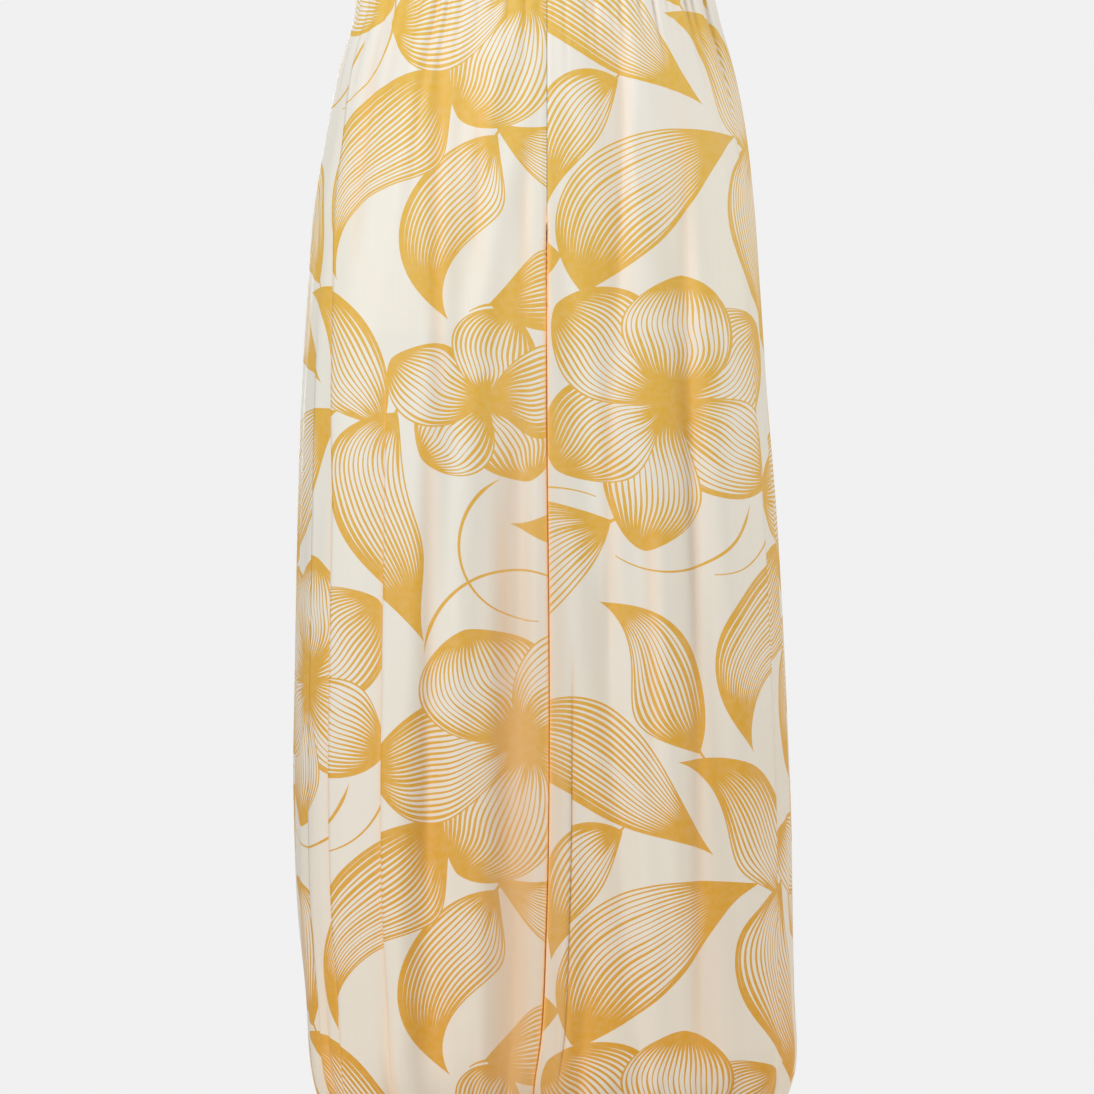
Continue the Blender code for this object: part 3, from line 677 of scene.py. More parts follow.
Leaf = namedtuple("Leaf", "across down heading length bend width sway")
LEAVES = (
    Leaf(0.307, 0.109, 155.6, 0.130, -70.5, 0.0290, 0.041),
    Leaf(0.371, 0.045, -105.2, 0.154, -38.1, 0.0324, -0.119),
    Leaf(0.099, 0.237, 141.2, 0.168, -72.9, 0.0361, -0.104),
    Leaf(0.003, 0.477, -106.7, 0.166, -54.4, 0.0342, -0.086),
    Leaf(0.257, 0.255, 166.6, 0.172, 48.7, 0.0393, 0.034),
    Leaf(0.093, 0.375, 10.4, 0.175, -84.8, 0.0358, -0.096),
    Leaf(0.017, 0.465, 121.9, 0.205, -77.3, 0.0423, 0.118),
    Leaf(0.197, 0.041, -4.6, 0.216, 59.6, 0.0415, -0.086),
    Leaf(0.061, 0.183, 156.1, 0.213, -70.7, 0.0465, -0.138),
    Leaf(0.297, 0.473, 140.1, 0.211, 33.1, 0.0462, 0.131),
    Leaf(0.275, 0.287, -78.9, 0.216, 73.7, 0.0458, -0.042),
)

Tendril = namedtuple("Tendril", "across down heading length bend")
TENDRILS = (
    Tendril(0.437, 0.399, 46.7, 0.165, 133.9),
    Tendril(0.039, 0.043, -86.0, 0.195, 150.8),
    Tendril(0.101, 0.519, 152.4, 0.167, -154.0),
    Tendril(0.421, 0.459, 106.8, 0.148, 106.7),
    Tendril(0.153, 0.503, -63.0, 0.155, 85.2),
)
TENDRIL_WIDTH = 0.0017
STEM_INSIDE = 0.010
STEM_LENGTH = 0.16
STEM_BEND = 42.0


def stem(leaf):
    """A thin stem that runs on from inside a leaf's base and bends away."""
    way = math.radians(leaf.heading)
    return Tendril(leaf.across + STEM_INSIDE * math.cos(way),
                   leaf.down + STEM_INSIDE * math.sin(way), leaf.heading + 180.0,
                   STEM_LENGTH * leaf.length, math.copysign(STEM_BEND, leaf.bend))


def petals(blossom):
    """The petals of a blossom, each a little different, and its small solid eye."""
    dice = random.Random(blossom.turn)
    found = []
    for number in range(blossom.petals):
        turned = number + dice.uniform(*PETAL_TURNS)
        heading = blossom.turn + 360.0 / blossom.petals * turned
        out = math.radians(heading)
        found.append(Motif(blossom.across + PETAL_START * math.cos(out),
                           blossom.down + PETAL_START * math.sin(out), heading,
                           blossom.radius * dice.uniform(*PETAL_LENGTHS),
                           blossom.bend * dice.uniform(*PETAL_BENDS),
                           blossom.width * dice.uniform(*PETAL_WIDTHS), *PETAL_FORM,
                           dice.uniform(*PETAL_SWAYS)))
    found.append(Motif(blossom.across - EYE_RADIUS, blossom.down, 0.0, 2 * EYE_RADIUS, 0.0,
                       EYE_RADIUS, *EYE_FORM, 0.0))
    return found


MOTIFS = [Motif(*row, TENDRIL_WIDTH, *TENDRIL_FORM, 0.0) for row in TENDRILS]
MOTIFS += [Motif(*stem(row), TENDRIL_WIDTH, *TENDRIL_FORM, 0.0) for row in LEAVES]
MOTIFS += [Motif(*row[:6], *LEAF_FORM, row.sway) for row in LEAVES]
for blossom in BLOSSOMS:
    MOTIFS += petals(blossom)
print("motifs in a repeat:", len(MOTIFS))


# %% Where a point lies on a motif
NEARLY_NONE = 0.0001


def on_motif(motif, across, down):
    """Share of the way along a motif, distance from its midline and its half width."""
    heading, bend = math.radians(motif.heading), math.radians(motif.bend)
    right, below = across - motif.across, down - motif.down
    if abs(bend) < TINY:
        walked = right * math.cos(heading) + below * math.sin(heading)
        aside = below * math.cos(heading) - right * math.sin(heading)
    else:
        radius = motif.length / bend
        way = math.copysign(1.0, radius)
        from_x = right + radius * math.sin(heading)
        from_y = below - radius * math.cos(heading)
        start = math.atan2(-math.cos(heading), math.sin(heading))
        angle = np.arctan2(from_y * way, from_x * way) - start
        angle = (angle - bend / 2 + math.pi) % (2 * math.pi) - math.pi + bend / 2
        walked = radius * angle
        aside = radius - way * np.hypot(from_x, from_y)
    share = walked / motif.length
    held = np.clip(share, NEARLY_NONE, 1 - NEARLY_NONE)
    aside = aside - motif.sway * motif.length / 2 * np.sin(2 * math.pi * held)
    half = motif.width * np.sin(math.pi * held**motif.skew) ** motif.round
    return share, aside, half


LAYERS = 4
NEAR_FACE = 0.0045       # a motif this near to a face may still show on it
WELL_INSIDE = 0.0006     # so far inside its outline, and from its ends, a motif
CLEAR_OF_ENDS = 0.01     # hides whatever lies under it
GOLDEN = 0.618


def print_on(mesh):
    """Tells each face corner of a quad mesh its place on up to four motifs, the top one
    first, from the flat places in the mesh's UV map."""
    flat = np.empty(len(mesh.loops) * 2, np.float32)
    mesh.uv_layers["flat_cloth"].data.foreach_get("uv", flat)
    a, d = np.moveaxis(flat.astype(float).reshape(-1, 4, 2), -1, 0)
    middle_a, middle_d = a.mean(1), d.mean(1)
    place = np.zeros((LAYERS, len(a), 4, 3))
    form = np.zeros((LAYERS, len(a), 4, 3))
    used = np.zeros(len(a), int)
    hidden = np.zeros(len(a), bool)
    for number, motif in reversed(list(enumerate(MOTIFS))):
        size = motif.length + motif.width + NEAR_FACE
        first = math.floor((middle_a.min() - motif.across - size) / REPEAT_ACROSS)
        last = math.ceil((middle_a.max() - motif.across + size) / REPEAT_ACROSS)
        for i in range(first, last + 1):
            lift = i * REPEAT_DOWN / 2
            low = math.floor((middle_d.min() - motif.down - lift - size) / REPEAT_DOWN)
            high = math.ceil((middle_d.max() - motif.down - lift + size) / REPEAT_DOWN)
            for j in range(low, high + 1):
                moved = motif._replace(across=motif.across + i * REPEAT_ACROSS,
                                       down=motif.down + lift + j * REPEAT_DOWN)
                near = np.abs(middle_a - moved.across) < size
                near &= np.abs(middle_d - moved.down) < size
                near &= ~hidden & (used < LAYERS)
                faces = np.nonzero(near)[0]
                if len(faces) == 0:
                    continue
                share, aside, half = on_motif(moved, a[faces], d[faces])
                beyond = NEAR_FACE / motif.length
                touched = np.abs(aside) < half + NEAR_FACE
                touched &= (share > -beyond) & (share < 1 + beyond)
                touched = touched.any(1)
                whole = np.abs(aside) < half - WELL_INSIDE
                whole &= (share > CLEAR_OF_ENDS) & (share < 1 - CLEAR_OF_ENDS)
                whole = whole.all(1) & (motif.round > 0)
                faces, share, aside = faces[touched], share[touched], aside[touched]
                seed = (number * GOLDEN) % 1.0
                layer = used[faces]
                place[layer, faces, :, 0] = share
                place[layer, faces, :, 1] = aside
                place[layer, faces, :, 2] = seed
                form[layer, faces] = (motif.width, motif.skew, motif.round)
                used[faces] += 1
                hidden[faces[whole[touched]]] = True
    for layer in range(LAYERS):
        for word, values in (("place", place), ("form", form)):
            data = mesh.attributes.new(f"motif_{word}_{layer}", "FLOAT_VECTOR", "CORNER")
            data.data.foreach_set("vector", values[layer].astype(np.float32).ravel())
    return used


print("layers of print kept on a face:", LAYERS)

# %% [markdown]
# ## Drawing the print in the shader
# The shader gets, for up to four motifs, how far along and aside a point is and the motif's
# width and form. From these it works out the outline and a family of lines that run from
# base to tip and wander a little. The lines are thicker at both ends and thin out where a
# leaf would catch the light, as in a line drawing. Math nodes do it all, so there is no
# picture file. The small class below keeps the wiring of nodes short and readable.

# %% Short words for nodes
class Sums:
    """Wires a tree's nodes: sums("ADD", a, b) adds a Math node and returns its result."""

    def __init__(self, tree):
        self.tree = tree

    def feed(self, socket, value):
        """Links a result to an input, or sets a plain value on it."""
        if isinstance(value, bpy.types.NodeSocket):
            self.tree.links.new(value, socket)
        else:
            socket.default_value = value

    def node(self, kind, settings=None, **inputs):
        """A new node; its inputs have Blender's names, with _ for a space."""
        node = self.tree.nodes.new(kind)
        for name, value in (settings or {}).items():
            setattr(node, name, value)
        for name, value in inputs.items():
            self.feed(node.inputs[name.replace("_", " ")], value)
        return node

    def __call__(self, operation, *values, clamp=False):
        node = self.node("ShaderNodeMath", dict(operation=operation, use_clamp=clamp))
        for socket, value in zip(node.inputs, values):
            self.feed(socket, value)
        return node.outputs[0]

    def times(self, a, b):
        return self("MULTIPLY", a, b)

    def plus(self, a, b):
        return self("ADD", a, b)

    def minus(self, a, b):
        return self("SUBTRACT", a, b)

    def scaled(self, value, factor, start, clamp=False):
        """value times factor, plus start."""
        return self("MULTIPLY_ADD", value, factor, start, clamp=clamp)

    def bump(self, value, centre, width):
        """1 where value is centre, falling off softly over width."""
        off = self("DIVIDE", self.minus(value, centre), width)
        return self("EXPONENT", self.times(self.times(off, off), -1.0))

    def below(self, value, limit, soft):
        """1 where value is under limit, 0 above it, with a narrow soft edge."""
        return self.scaled(self.minus(limit, value), 1.0 / soft, 0.5, clamp=True)

    def split(self, vector):
        return self.node("ShaderNodeSeparateXYZ", Vector=vector).outputs

    def noise(self, place, scale, detail=2.0):
        node = self.node("ShaderNodeTexNoise", Vector=place, Scale=scale, Detail=detail)
        return node.outputs["Fac"]

    def stored(self, name, output):
        """A value that the mesh keeps for each point or corner."""
        node = self.node("ShaderNodeAttribute", dict(attribute_name=name))
        return node.outputs[output]

    def colours(self, share, a, b):
        """Colour a, with a share of colour b mixed in."""
        node = self.node("ShaderNodeMix", dict(data_type="RGBA"))
        for socket, value in zip([s for s in node.inputs if s.type == "RGBA"], (a, b)):
            self.feed(socket, value)
        self.feed(node.inputs[0], share)
        return next(s for s in node.outputs if s.type == "RGBA")


print("operations on nodes:", [name for name in vars(Sums) if not name.startswith("_")])

# %% One drawn motif
SOLID_BELOW = 0.008              # a motif with less than this half width is all ink
NO_POWER = 0.01                  # a tendril's form has none, so it is drawn as a thin line
TENDRIL_THINS = 0.75
TENDRIL_STARTS = 9.0
LINE_PITCH = 0.0046
LINE_SOFT = 0.00025
SLOW_WANDER = (7.0, 6.3, 0.09)       # radians to the tip, radians by the seed, its size
QUICK_WANDER = (19.0, 20.0, 0.012)
SCRAMBLE = (12.9898, 50.0, 43.7585)  # makes an own number from a line's number and seed
LINE_WIDTH = 0.0020
END_FALL = -6.0
WIDER_BASE, WIDER_TIP = 0.0022, 0.0014
WIDER_EDGE, EDGE_FROM = 0.0010, 0.5
WIDER_SHADED = 0.0013
OWN_WIDTH = (0.5, 0.75)
LIT_PLACE = (40.0, 0.25, 0.45)       # radians by the seed, its size, the mean place
LIT_OWN = 0.22
LIT_LENGTH = 0.17
LIT_THINS = 0.55
RIM, RIM_BELLY, RIM_HEAVY = 0.0010, 0.0006, 0.0018


def motif_outline(sums, held, width, skew, power):
    """Half a motif's width at a share of its length."""
    wave = sums("SINE", sums.times(sums("POWER", held, skew), math.pi))
    half = sums.times(width, sums("POWER", sums("MAXIMUM", wave, NEARLY_NONE), power))
    broad = sums.minus(1.0, sums("LESS_THAN", power, NO_POWER))
    taper = sums.scaled(held, -TENDRIL_THINS, 1.0)
    taper = sums.times(taper, sums("MULTIPLY", held, TENDRIL_STARTS, clamp=True))
    return sums.times(half, sums("MAXIMUM", taper, broad))


def line_place(sums, held, across, seed, count):
    """Which line a point is nearest to and how far off, in line spacings."""
    wander = []
    for turns, by_seed, size in (SLOW_WANDER, QUICK_WANDER):
        wave = sums("SINE", sums.plus(sums.times(held, turns), sums.times(seed, by_seed)))
        wander.append(sums.times(wave, size))
    room = sums.minus(1.0, sums.times(across, across))
    moved = sums.plus(across, sums.times(sums.plus(*wander), room))
    line = sums.times(moved, sums.times(count, 0.5))
    line = sums.plus(line, sums.times(sums("MODULO", count, 2.0), 0.5))
    number = sums("ROUND", line)
    return number, sums("ABSOLUTE", sums.minus(line, number))


def line_width(sums, held, across, seed, number):
    """A line's width: wider to the ends, the edges and one side, thin where it is lit."""
    own = sums.plus(sums.times(number, SCRAMBLE[0]), sums.times(seed, SCRAMBLE[1]))
    own = sums("FRACT", sums.times(sums("SINE", own), SCRAMBLE[2]))
    lit_at = sums("SINE", sums.times(seed, LIT_PLACE[0]))
    lit_at = sums.scaled(lit_at, LIT_PLACE[1], LIT_PLACE[2])
    lit_at = sums.scaled(sums.minus(own, 0.5), LIT_OWN, lit_at)
    base = sums.times(sums("EXPONENT", sums.times(held, END_FALL)), WIDER_BASE)
    tip = sums("EXPONENT", sums.times(sums.minus(1.0, held), END_FALL))
    wide = sums.plus(sums.scaled(tip, WIDER_TIP, LINE_WIDTH), base)
    edge = sums("MAXIMUM", sums.minus(sums("ABSOLUTE", across), EDGE_FROM), 0.0)
    wide = sums.scaled(edge, WIDER_EDGE, wide)
    shaded = sums("MAXIMUM", across, 0.0)
    wide = sums.scaled(sums.times(shaded, shaded), WIDER_SHADED, wide)
    wide = sums.times(wide, sums.scaled(own, *OWN_WIDTH))
    lit = sums.bump(held, lit_at, LIT_LENGTH)
    return sums.times(wide, sums.scaled(lit, -LIT_THINS, 1.0))


def make_motif_group():
    """A group of nodes that tells whether a point is in a motif and how inked it is."""
    tree = bpy.data.node_groups.new("drawn_motif", "ShaderNodeTree")
    for name in ("Place", "Form"):
        tree.interface.new_socket(name, in_out="INPUT", socket_type="NodeSocketVector")
    for name in ("Inside", "Ink"):
        tree.interface.new_socket(name, in_out="OUTPUT", socket_type="NodeSocketFloat")
    sums = Sums(tree)
    start = sums.node("NodeGroupInput").outputs
    share, aside, seed = sums.split(start["Place"])
    width, skew, power = sums.split(start["Form"])
    held = sums("MINIMUM", sums("MAXIMUM", share, NEARLY_NONE), 1.0 - NEARLY_NONE)
    half = motif_outline(sums, held, width, skew, power)
    off = sums("ABSOLUTE", aside)
    inside = sums.below(off, half, LINE_SOFT)
    inside = sums.times(inside, sums("GREATER_THAN", share, 0.0))
    inside = sums.times(inside, sums("LESS_THAN", share, 1.0))
    count = sums("MAXIMUM", sums("ROUND", sums.times(width, 2.0 / LINE_PITCH)), 2.0)
    across = sums("DIVIDE", aside, half)
    number, away = line_place(sums, held, across, seed, count)
    spacing = sums("DIVIDE", sums.times(half, 2.0), count)
    wide = line_width(sums, held, across, seed, number)
    ink = sums.below(sums.times(away, spacing), sums.times(wide, 0.5), LINE_SOFT)
    belly = sums("SINE", sums.times(held, math.pi))
    heavy = sums.times(sums("GREATER_THAN", aside, 0.0), belly)
    rim = sums.scaled(heavy, RIM_HEAVY, sums.scaled(belly, RIM_BELLY, RIM))
    ink = sums("MAXIMUM", ink, sums.below(sums.minus(half, off), rim, LINE_SOFT))
    ink = sums("MAXIMUM", ink, sums("LESS_THAN", width, SOLID_BELOW))
    sums.node("NodeGroupOutput", Inside=inside, Ink=ink)
    return tree


MOTIF_GROUP = make_motif_group()
print("nodes that draw a motif:", len(MOTIF_GROUP.nodes))

# %% [markdown]
# ## The cloth's finish
# The real cloth is a light crepe with a soft satin face. Its ground is cream: whiter on the
# hips, where the lining lies behind it, and warmer down the single layer of the legs. The
# gold of the print deepens a little towards the hem in the same way. A fine weave and the
# slightly pebbled crepe yarn go into the bump, and sheen gives the soft edge glow.
# Warm shade is painted into the printed cloth's colour between the legs and by folds and
# creases.

# %% Weave and plain parts of a cloth's finish
YARN_PITCH = 0.00042
YARN_WANDER = (900.0, 2.2)       # the noise's scale, then its size
PEBBLES = (420.0, 3.0, 0.9)      # scale, detail, size
STREAKS = (130.0, 7.0)
STREAK_LENGTH = 0.04
WEAVE_SIZE = 0.30
WEAVE_STRENGTH = 0.35
WEAVE_DEPTH = 0.00012


def blank_material(name):
    """A new material, the wiring of its nodes and its shader."""
    material = bpy.data.materials.new(name)
    material.use_nodes = True
    tree = material.node_tree
    return material, Sums(tree), tree.nodes["Principled BSDF"]


def set_finish(sums, shader, colour, rough, **plain):
    """Wires the colour and the roughness, and sets the shader's own plain values."""
    inputs = dict(Base_Color=colour, Roughness=rough, **plain)
    for name, value in inputs.items():
        sums.feed(shader.inputs[name.replace("_", " ")], value)


def flat_cloth(sums):
    return sums.node("ShaderNodeUVMap", dict(uv_map="flat_cloth")).outputs[0]


def raised(sums, shader, height, strength, distance):
    """Wires a height as the shader's bump."""
    bump = sums.node("ShaderNodeBump", Strength=strength, Distance=distance, Height=height)
    sums.feed(shader.inputs["Normal"], bump.outputs[0])


def weave_bump(sums, shader, flat, distance):
    """A crepe weave: crossing yarns that wander a little, soft pebbling and the long faint
    streaks of cloth that hangs."""
    wander = sums.times(sums.minus(sums.noise(flat, YARN_WANDER[0]), 0.5), YARN_WANDER[1])
    yarns = []
    for place in sums.split(flat)[:2]:
        turn = sums.times(place, 2 * math.pi / YARN_PITCH)
        yarns.append(sums("SINE", sums.plus(turn, wander)))
    weave = sums.times(sums.times(*yarns), WEAVE_SIZE)
    pebble = sums.times(sums.noise(flat, *PEBBLES[:2]), PEBBLES[2])
    drawn_out = sums.node("ShaderNodeVectorMath", dict(operation="MULTIPLY"))
    sums.feed(drawn_out.inputs[0], flat)
    sums.feed(drawn_out.inputs[1], (1.0, STREAK_LENGTH, 1.0))
    streaks = sums.times(sums.noise(drawn_out.outputs[0], STREAKS[0]), STREAKS[1])
    height = sums.plus(sums.plus(weave, pebble), streaks)
    raised(sums, shader, height, WEAVE_STRENGTH, distance)


print("yarns to a millimetre:", round(0.001 / YARN_PITCH, 1))

# %% Printed cloth
LINING_HEM = -0.322
CREAM_WAIST = (0.655, 0.645, 0.612, 1.0)
CREAM_HIP = (0.637, 0.622, 0.566, 1.0)
CREAM_SINGLE = (0.613, 0.604, 0.560, 1.0)
CREAM_LOW = (0.576, 0.518, 0.440, 1.0)
CREAM_CLOUD = (0.62, 0.55, 0.45, 1.0)
GOLD_HIGH = (0.600, 0.376, 0.044, 1.0)
GOLD_LOW = (0.494, 0.226, 0.006, 1.0)
WRONG_SIDE_VEIL = (0.78, 0.73, 0.64, 1.0)
LINED_EDGE = 90.0            # steepness of the change of tone at the lining's hem
WAIST_CHANGE = (6.0, 1.3)    # a change down the leg: by height, then from the waistband
LOW_CHANGE = (-1.6, -0.62)
GOLD_CHANGE = (-1.0, -0.05)
CLOUDS = (9.0, 0.10)         # the noise's scale, then its size
UNEVEN_INK = (160.0, 0.24, 0.84)
UNEVEN_GLOSS = (60.0, 0.08)
INK_ROUGHNESS = (0.08, 0.44)
# painted shade: an orange tint by the folds, creases and the gap between the legs, and a broad
# tan shade on the fronts between the legs, mixed into the cloth's colour
PAINTED_SHADE_ORANGE = (0.860, 0.420, 0.110, 1.0)
PAINTED_SHADE_ORANGE_SHARE = 0.80
SHADE_BETWEEN = (0.520, 0.330, 0.180, 1.0)
SHADE_STARTS = -0.25
SHADE_GROWS = 2.2
Shade = namedtuple("Shade", "x width share")
SHADES_BETWEEN = (Shade(-0.026, 0.024, 0.50), Shade(0.008, 0.009, 0.30))


def print_ink(sums):
    """How much ink lies at a point, from the lowest layer of motifs to the top one."""
    ink = 0.0
    for layer in reversed(range(LAYERS)):
        place = sums.stored(f"motif_place_{layer}", "Vector")
        form = sums.stored(f"motif_form_{layer}", "Vector")
        drawn = sums.node("ShaderNodeGroup", dict(node_tree=MOTIF_GROUP), Place=place,
                          Form=form).outputs
        clear = sums.minus(1.0, drawn["Inside"])
        ink = sums.scaled(ink, clear, sums.times(drawn["Ink"], drawn["Inside"]))
    return ink


def cream_ground(sums, flat, height):
    """Cream: whiter where the lining lies behind it, warmer down the legs' single layer."""
    single = sums.colours(sums.scaled(height, *LOW_CHANGE, clamp=True), CREAM_SINGLE, CREAM_LOW)
    lined = sums.colours(sums.scaled(height, *WAIST_CHANGE, clamp=True), CREAM_HIP, CREAM_WAIST)
    above_hem = sums.scaled(height, LINED_EDGE, -LINED_EDGE * LINING_HEM, clamp=True)
    ground = sums.colours(above_hem, single, lined)
    clouds = sums.times(sums.noise(flat, CLOUDS[0]), CLOUDS[1])
    return sums.colours(clouds, ground, CREAM_CLOUD)


def add_painted_shade(sums, colour, across, forward, height):
    """The colour with warm shade painted in: tan between the legs, orange by folds, creases and
    the inseam gap, where thin cloth lies in shadow and passes on warm light.
    """
    between = sums("MULTIPLY", sums.minus(SHADE_STARTS, height), SHADE_GROWS, clamp=True)
    between = sums.times(between, sums("LESS_THAN", forward, 0.0))
    broad = [sums.times(sums.bump(across, shade.x, shade.width), shade.share)
             for shade in SHADES_BETWEEN]
    between = sums.times(between, sums("MAXIMUM", *broad))
    colour = sums.colours(between, colour, SHADE_BETWEEN)
    edge = sums.times(sums.stored("warmth", "Fac"), PAINTED_SHADE_ORANGE_SHARE)
    return sums.colours(edge, colour, PAINTED_SHADE_ORANGE)


def printed_cloth(name, ink_share=1.0, fade=0.0):
    """The printed crepe; ink_share and fade make its paler wrong side."""
    material, sums, shader = blank_material(name)
    flat = flat_cloth(sums)
    place = sums.split(sums.node("ShaderNodeTexCoord").outputs["Object"])
    height = place["Z"]
    uneven = sums.scaled(sums.noise(flat, UNEVEN_INK[0]), *UNEVEN_INK[1:])
    ink = sums.times(print_ink(sums), ink_share)
    ink = sums.times(ink, sums("MINIMUM", uneven, 1.0))
    gold = sums.colours(sums.scaled(height, *GOLD_CHANGE, clamp=True), GOLD_HIGH, GOLD_LOW)
    colour = sums.colours(ink, cream_ground(sums, flat, height), gold)
    # painted warm shade between the legs and by the folds and creases
    colour = add_painted_shade(sums, colour, *place)
    if fade:
        colour = sums.colours(fade, colour, WRONG_SIDE_VEIL)
    rough = sums.scaled(ink, *INK_ROUGHNESS)
    rough = sums.scaled(sums.noise(flat, UNEVEN_GLOSS[0]), UNEVEN_GLOSS[1], rough)
    set_finish(sums, shader, colour, rough, Specular_IOR_Level=0.35, Sheen_Weight=0.05,
               Sheen_Roughness=0.35, Sheen_Tint=(1.0, 0.96, 0.88, 1.0))
    weave_bump(sums, shader, flat, WEAVE_DEPTH)
    return material


PRINTED = printed_cloth("printed_crepe")
WRONG_SIDE = printed_cloth("printed_crepe_wrong_side", ink_share=0.45, fade=0.25)
print("materials:", PRINTED.name, WRONG_SIDE.name)

# %% [markdown]
# ## Sheets with a right and a wrong side
# A sheet is a grid of quads turned to face out. Solidify then gives it the thickness of the
# cloth, and its inner skin gets the paler wrong side, as with real printed cloth.

# %% Sheets of cloth
CLOTH_THICKNESS = 0.0005


def quad_mesh(name, points, quads):
    mesh = bpy.data.meshes.new(name)
    mesh.from_pydata(points.reshape(-1, 3).tolist(), [], quads.tolist())
    mesh.shade_smooth()
    return mesh


def sheet_mesh(name, points, across, down, flip=False):
    """A mesh through a grid of points, with its flat places as a UV map."""
    index = np.arange(across.size).reshape(across.shape)
    left, right = index[:, :-1], index[:, 1:]
    quads = np.stack([left[:-1], left[1:], right[1:], right[:-1]], axis=-1).reshape(-1, 4)
    if flip:
        quads = quads[:, ::-1]
    mesh = quad_mesh(name, points, quads)
    write_flat(mesh, across.ravel()[quads], down.ravel()[quads])
    return mesh


def write_flat(mesh, across, down):
    """Writes each face corner's flat place as a UV map."""
    uv = mesh.uv_layers.new(name="flat_cloth")
    uv.data.foreach_set("uv", np.stack([across, down], axis=-1).astype(np.float32).ravel())


def point_data(mesh, name, values):
    """Stores a number or a vector for each vertex."""
    is_vector = values.ndim == 2
    kind, key = ("FLOAT_VECTOR", "vector") if is_vector else ("FLOAT", "value")
    data = mesh.attributes.new(name, kind, "POINT")
    data.data.foreach_set(key, values.astype(np.float32).ravel())


def add_object(name, mesh, *materials):
    piece = bpy.data.objects.new(name, mesh)
    bpy.context.scene.collection.objects.link(piece)
    for material in materials:
        mesh.materials.append(material)
    return piece


def thicken(piece, thickness=CLOTH_THICKNESS):
    wall = piece.modifiers.new("Thickness", "SOLIDIFY")
    wall.thickness = thickness
    wall.offset = -1.0
    wall.use_quality_normals = True
    wall.material_offset = 1
    wall.material_offset_rim = 0


# %% [markdown]
# ## The four leg panels
# Each panel is cut from its own part of the printed cloth, so the print does not match
# across the seams, as on the real garment. The offsets below say where each one is cut.

# %% Build the panels
CUT_AT = {("right", "front"): (0.085, 0.100), ("left", "front"): (0.300, 0.020),
          ("right", "back"): (0.190, 0.370), ("left", "back"): (0.020, 0.260)}
PANELS = {}
for leg in ("left", "right"):
    for face in ("front", "back"):
        panel = LegPanel(leg, face)
        rows = [panel.row(height) for height in HEIGHTS]
        points, across, down = flat_places(rows)
        side = 1.0 if leg == "left" else -1.0
        shift = CUT_AT[leg, face]
        across = side * (1.0 if face == "front" else -1.0) * across + shift[0]
        down = down + shift[1]
        inward = (leg == "left") != (face == "front")
        mesh = sheet_mesh(f"{face}_{leg}_cloth", points, across, down, flip=inward)
        # each point's painted warm shade, which the cloth's shader mixes into its colour
        point_data(mesh, "warmth", np.concatenate([row[3] for row in rows]))
        layers = print_on(mesh)
        piece = add_object(f"panel_{face}_{leg}", mesh, PRINTED, WRONG_SIDE)
        thicken(piece)
        PANELS[leg, face] = (piece, points, across, down)
        print(piece.name, len(mesh.polygons), "quads, most layers of print", layers.max())

# %% [markdown]
# ## The short lining
# A light, plain lining hangs inside each leg to just below the crotch. It shows as a whiter
# zone through the crepe and at the waist opening. It is built from the same sections, moved
# inwards, with a stitched hem.

# %% Build the lining
LINING_SEWN_INSET = 0.0022
LINING_SEWN_DEPTH = 0.006
LINING_TOP_INSET = 0.0040
LINING_INSET = 0.0105
LINING_INSET_DEPTH = 0.090
LINING_RISE = 0.0070
LINING_THICKNESS = 0.0004
LINING_SEAM_REACH = 0.012
LINING_SEAM_ENDS = 0.005
LINING_HALF_GAP = 0.00003
LINING_COLUMNS = 46
LINING_ROWS = dict(hips=34, crotch=16, legs=6)
LINING_WAVE = 0.0009
LINING_WAVE_TURNS = 23.0
LINING_WAVE_DRIFT = 2.0
LINING_WAVE_STARTS = dict(front=1.7, back=4.1)
LINING_PALE = (0.84, 0.82, 0.76, 1.0)
LINING_DARK = (0.74, 0.71, 0.64, 1.0)
LINING_WEAVE_DEPTH = 0.00010
SLUBS = (700.0, 3.0)             # the noise's scale, then its detail
SLUB_TONE = (0.5, 0.2)
SLUB_ROUGHNESS = (0.15, 0.62)


def lining_cloth():
    """Plain light voile with slubs in its yarn."""
    material, sums, shader = blank_material("lining_voile")
    flat = flat_cloth(sums)
    slub = sums.scaled(sums.noise(flat, *SLUBS), *SLUB_TONE)
    set_finish(sums, shader, sums.colours(slub, LINING_PALE, LINING_DARK),
               sums.scaled(slub, *SLUB_ROUGHNESS), Sheen_Weight=0.10)
    weave_bump(sums, shader, flat, LINING_WEAVE_DEPTH)
    return material


LINING_CLOTH = lining_cloth()


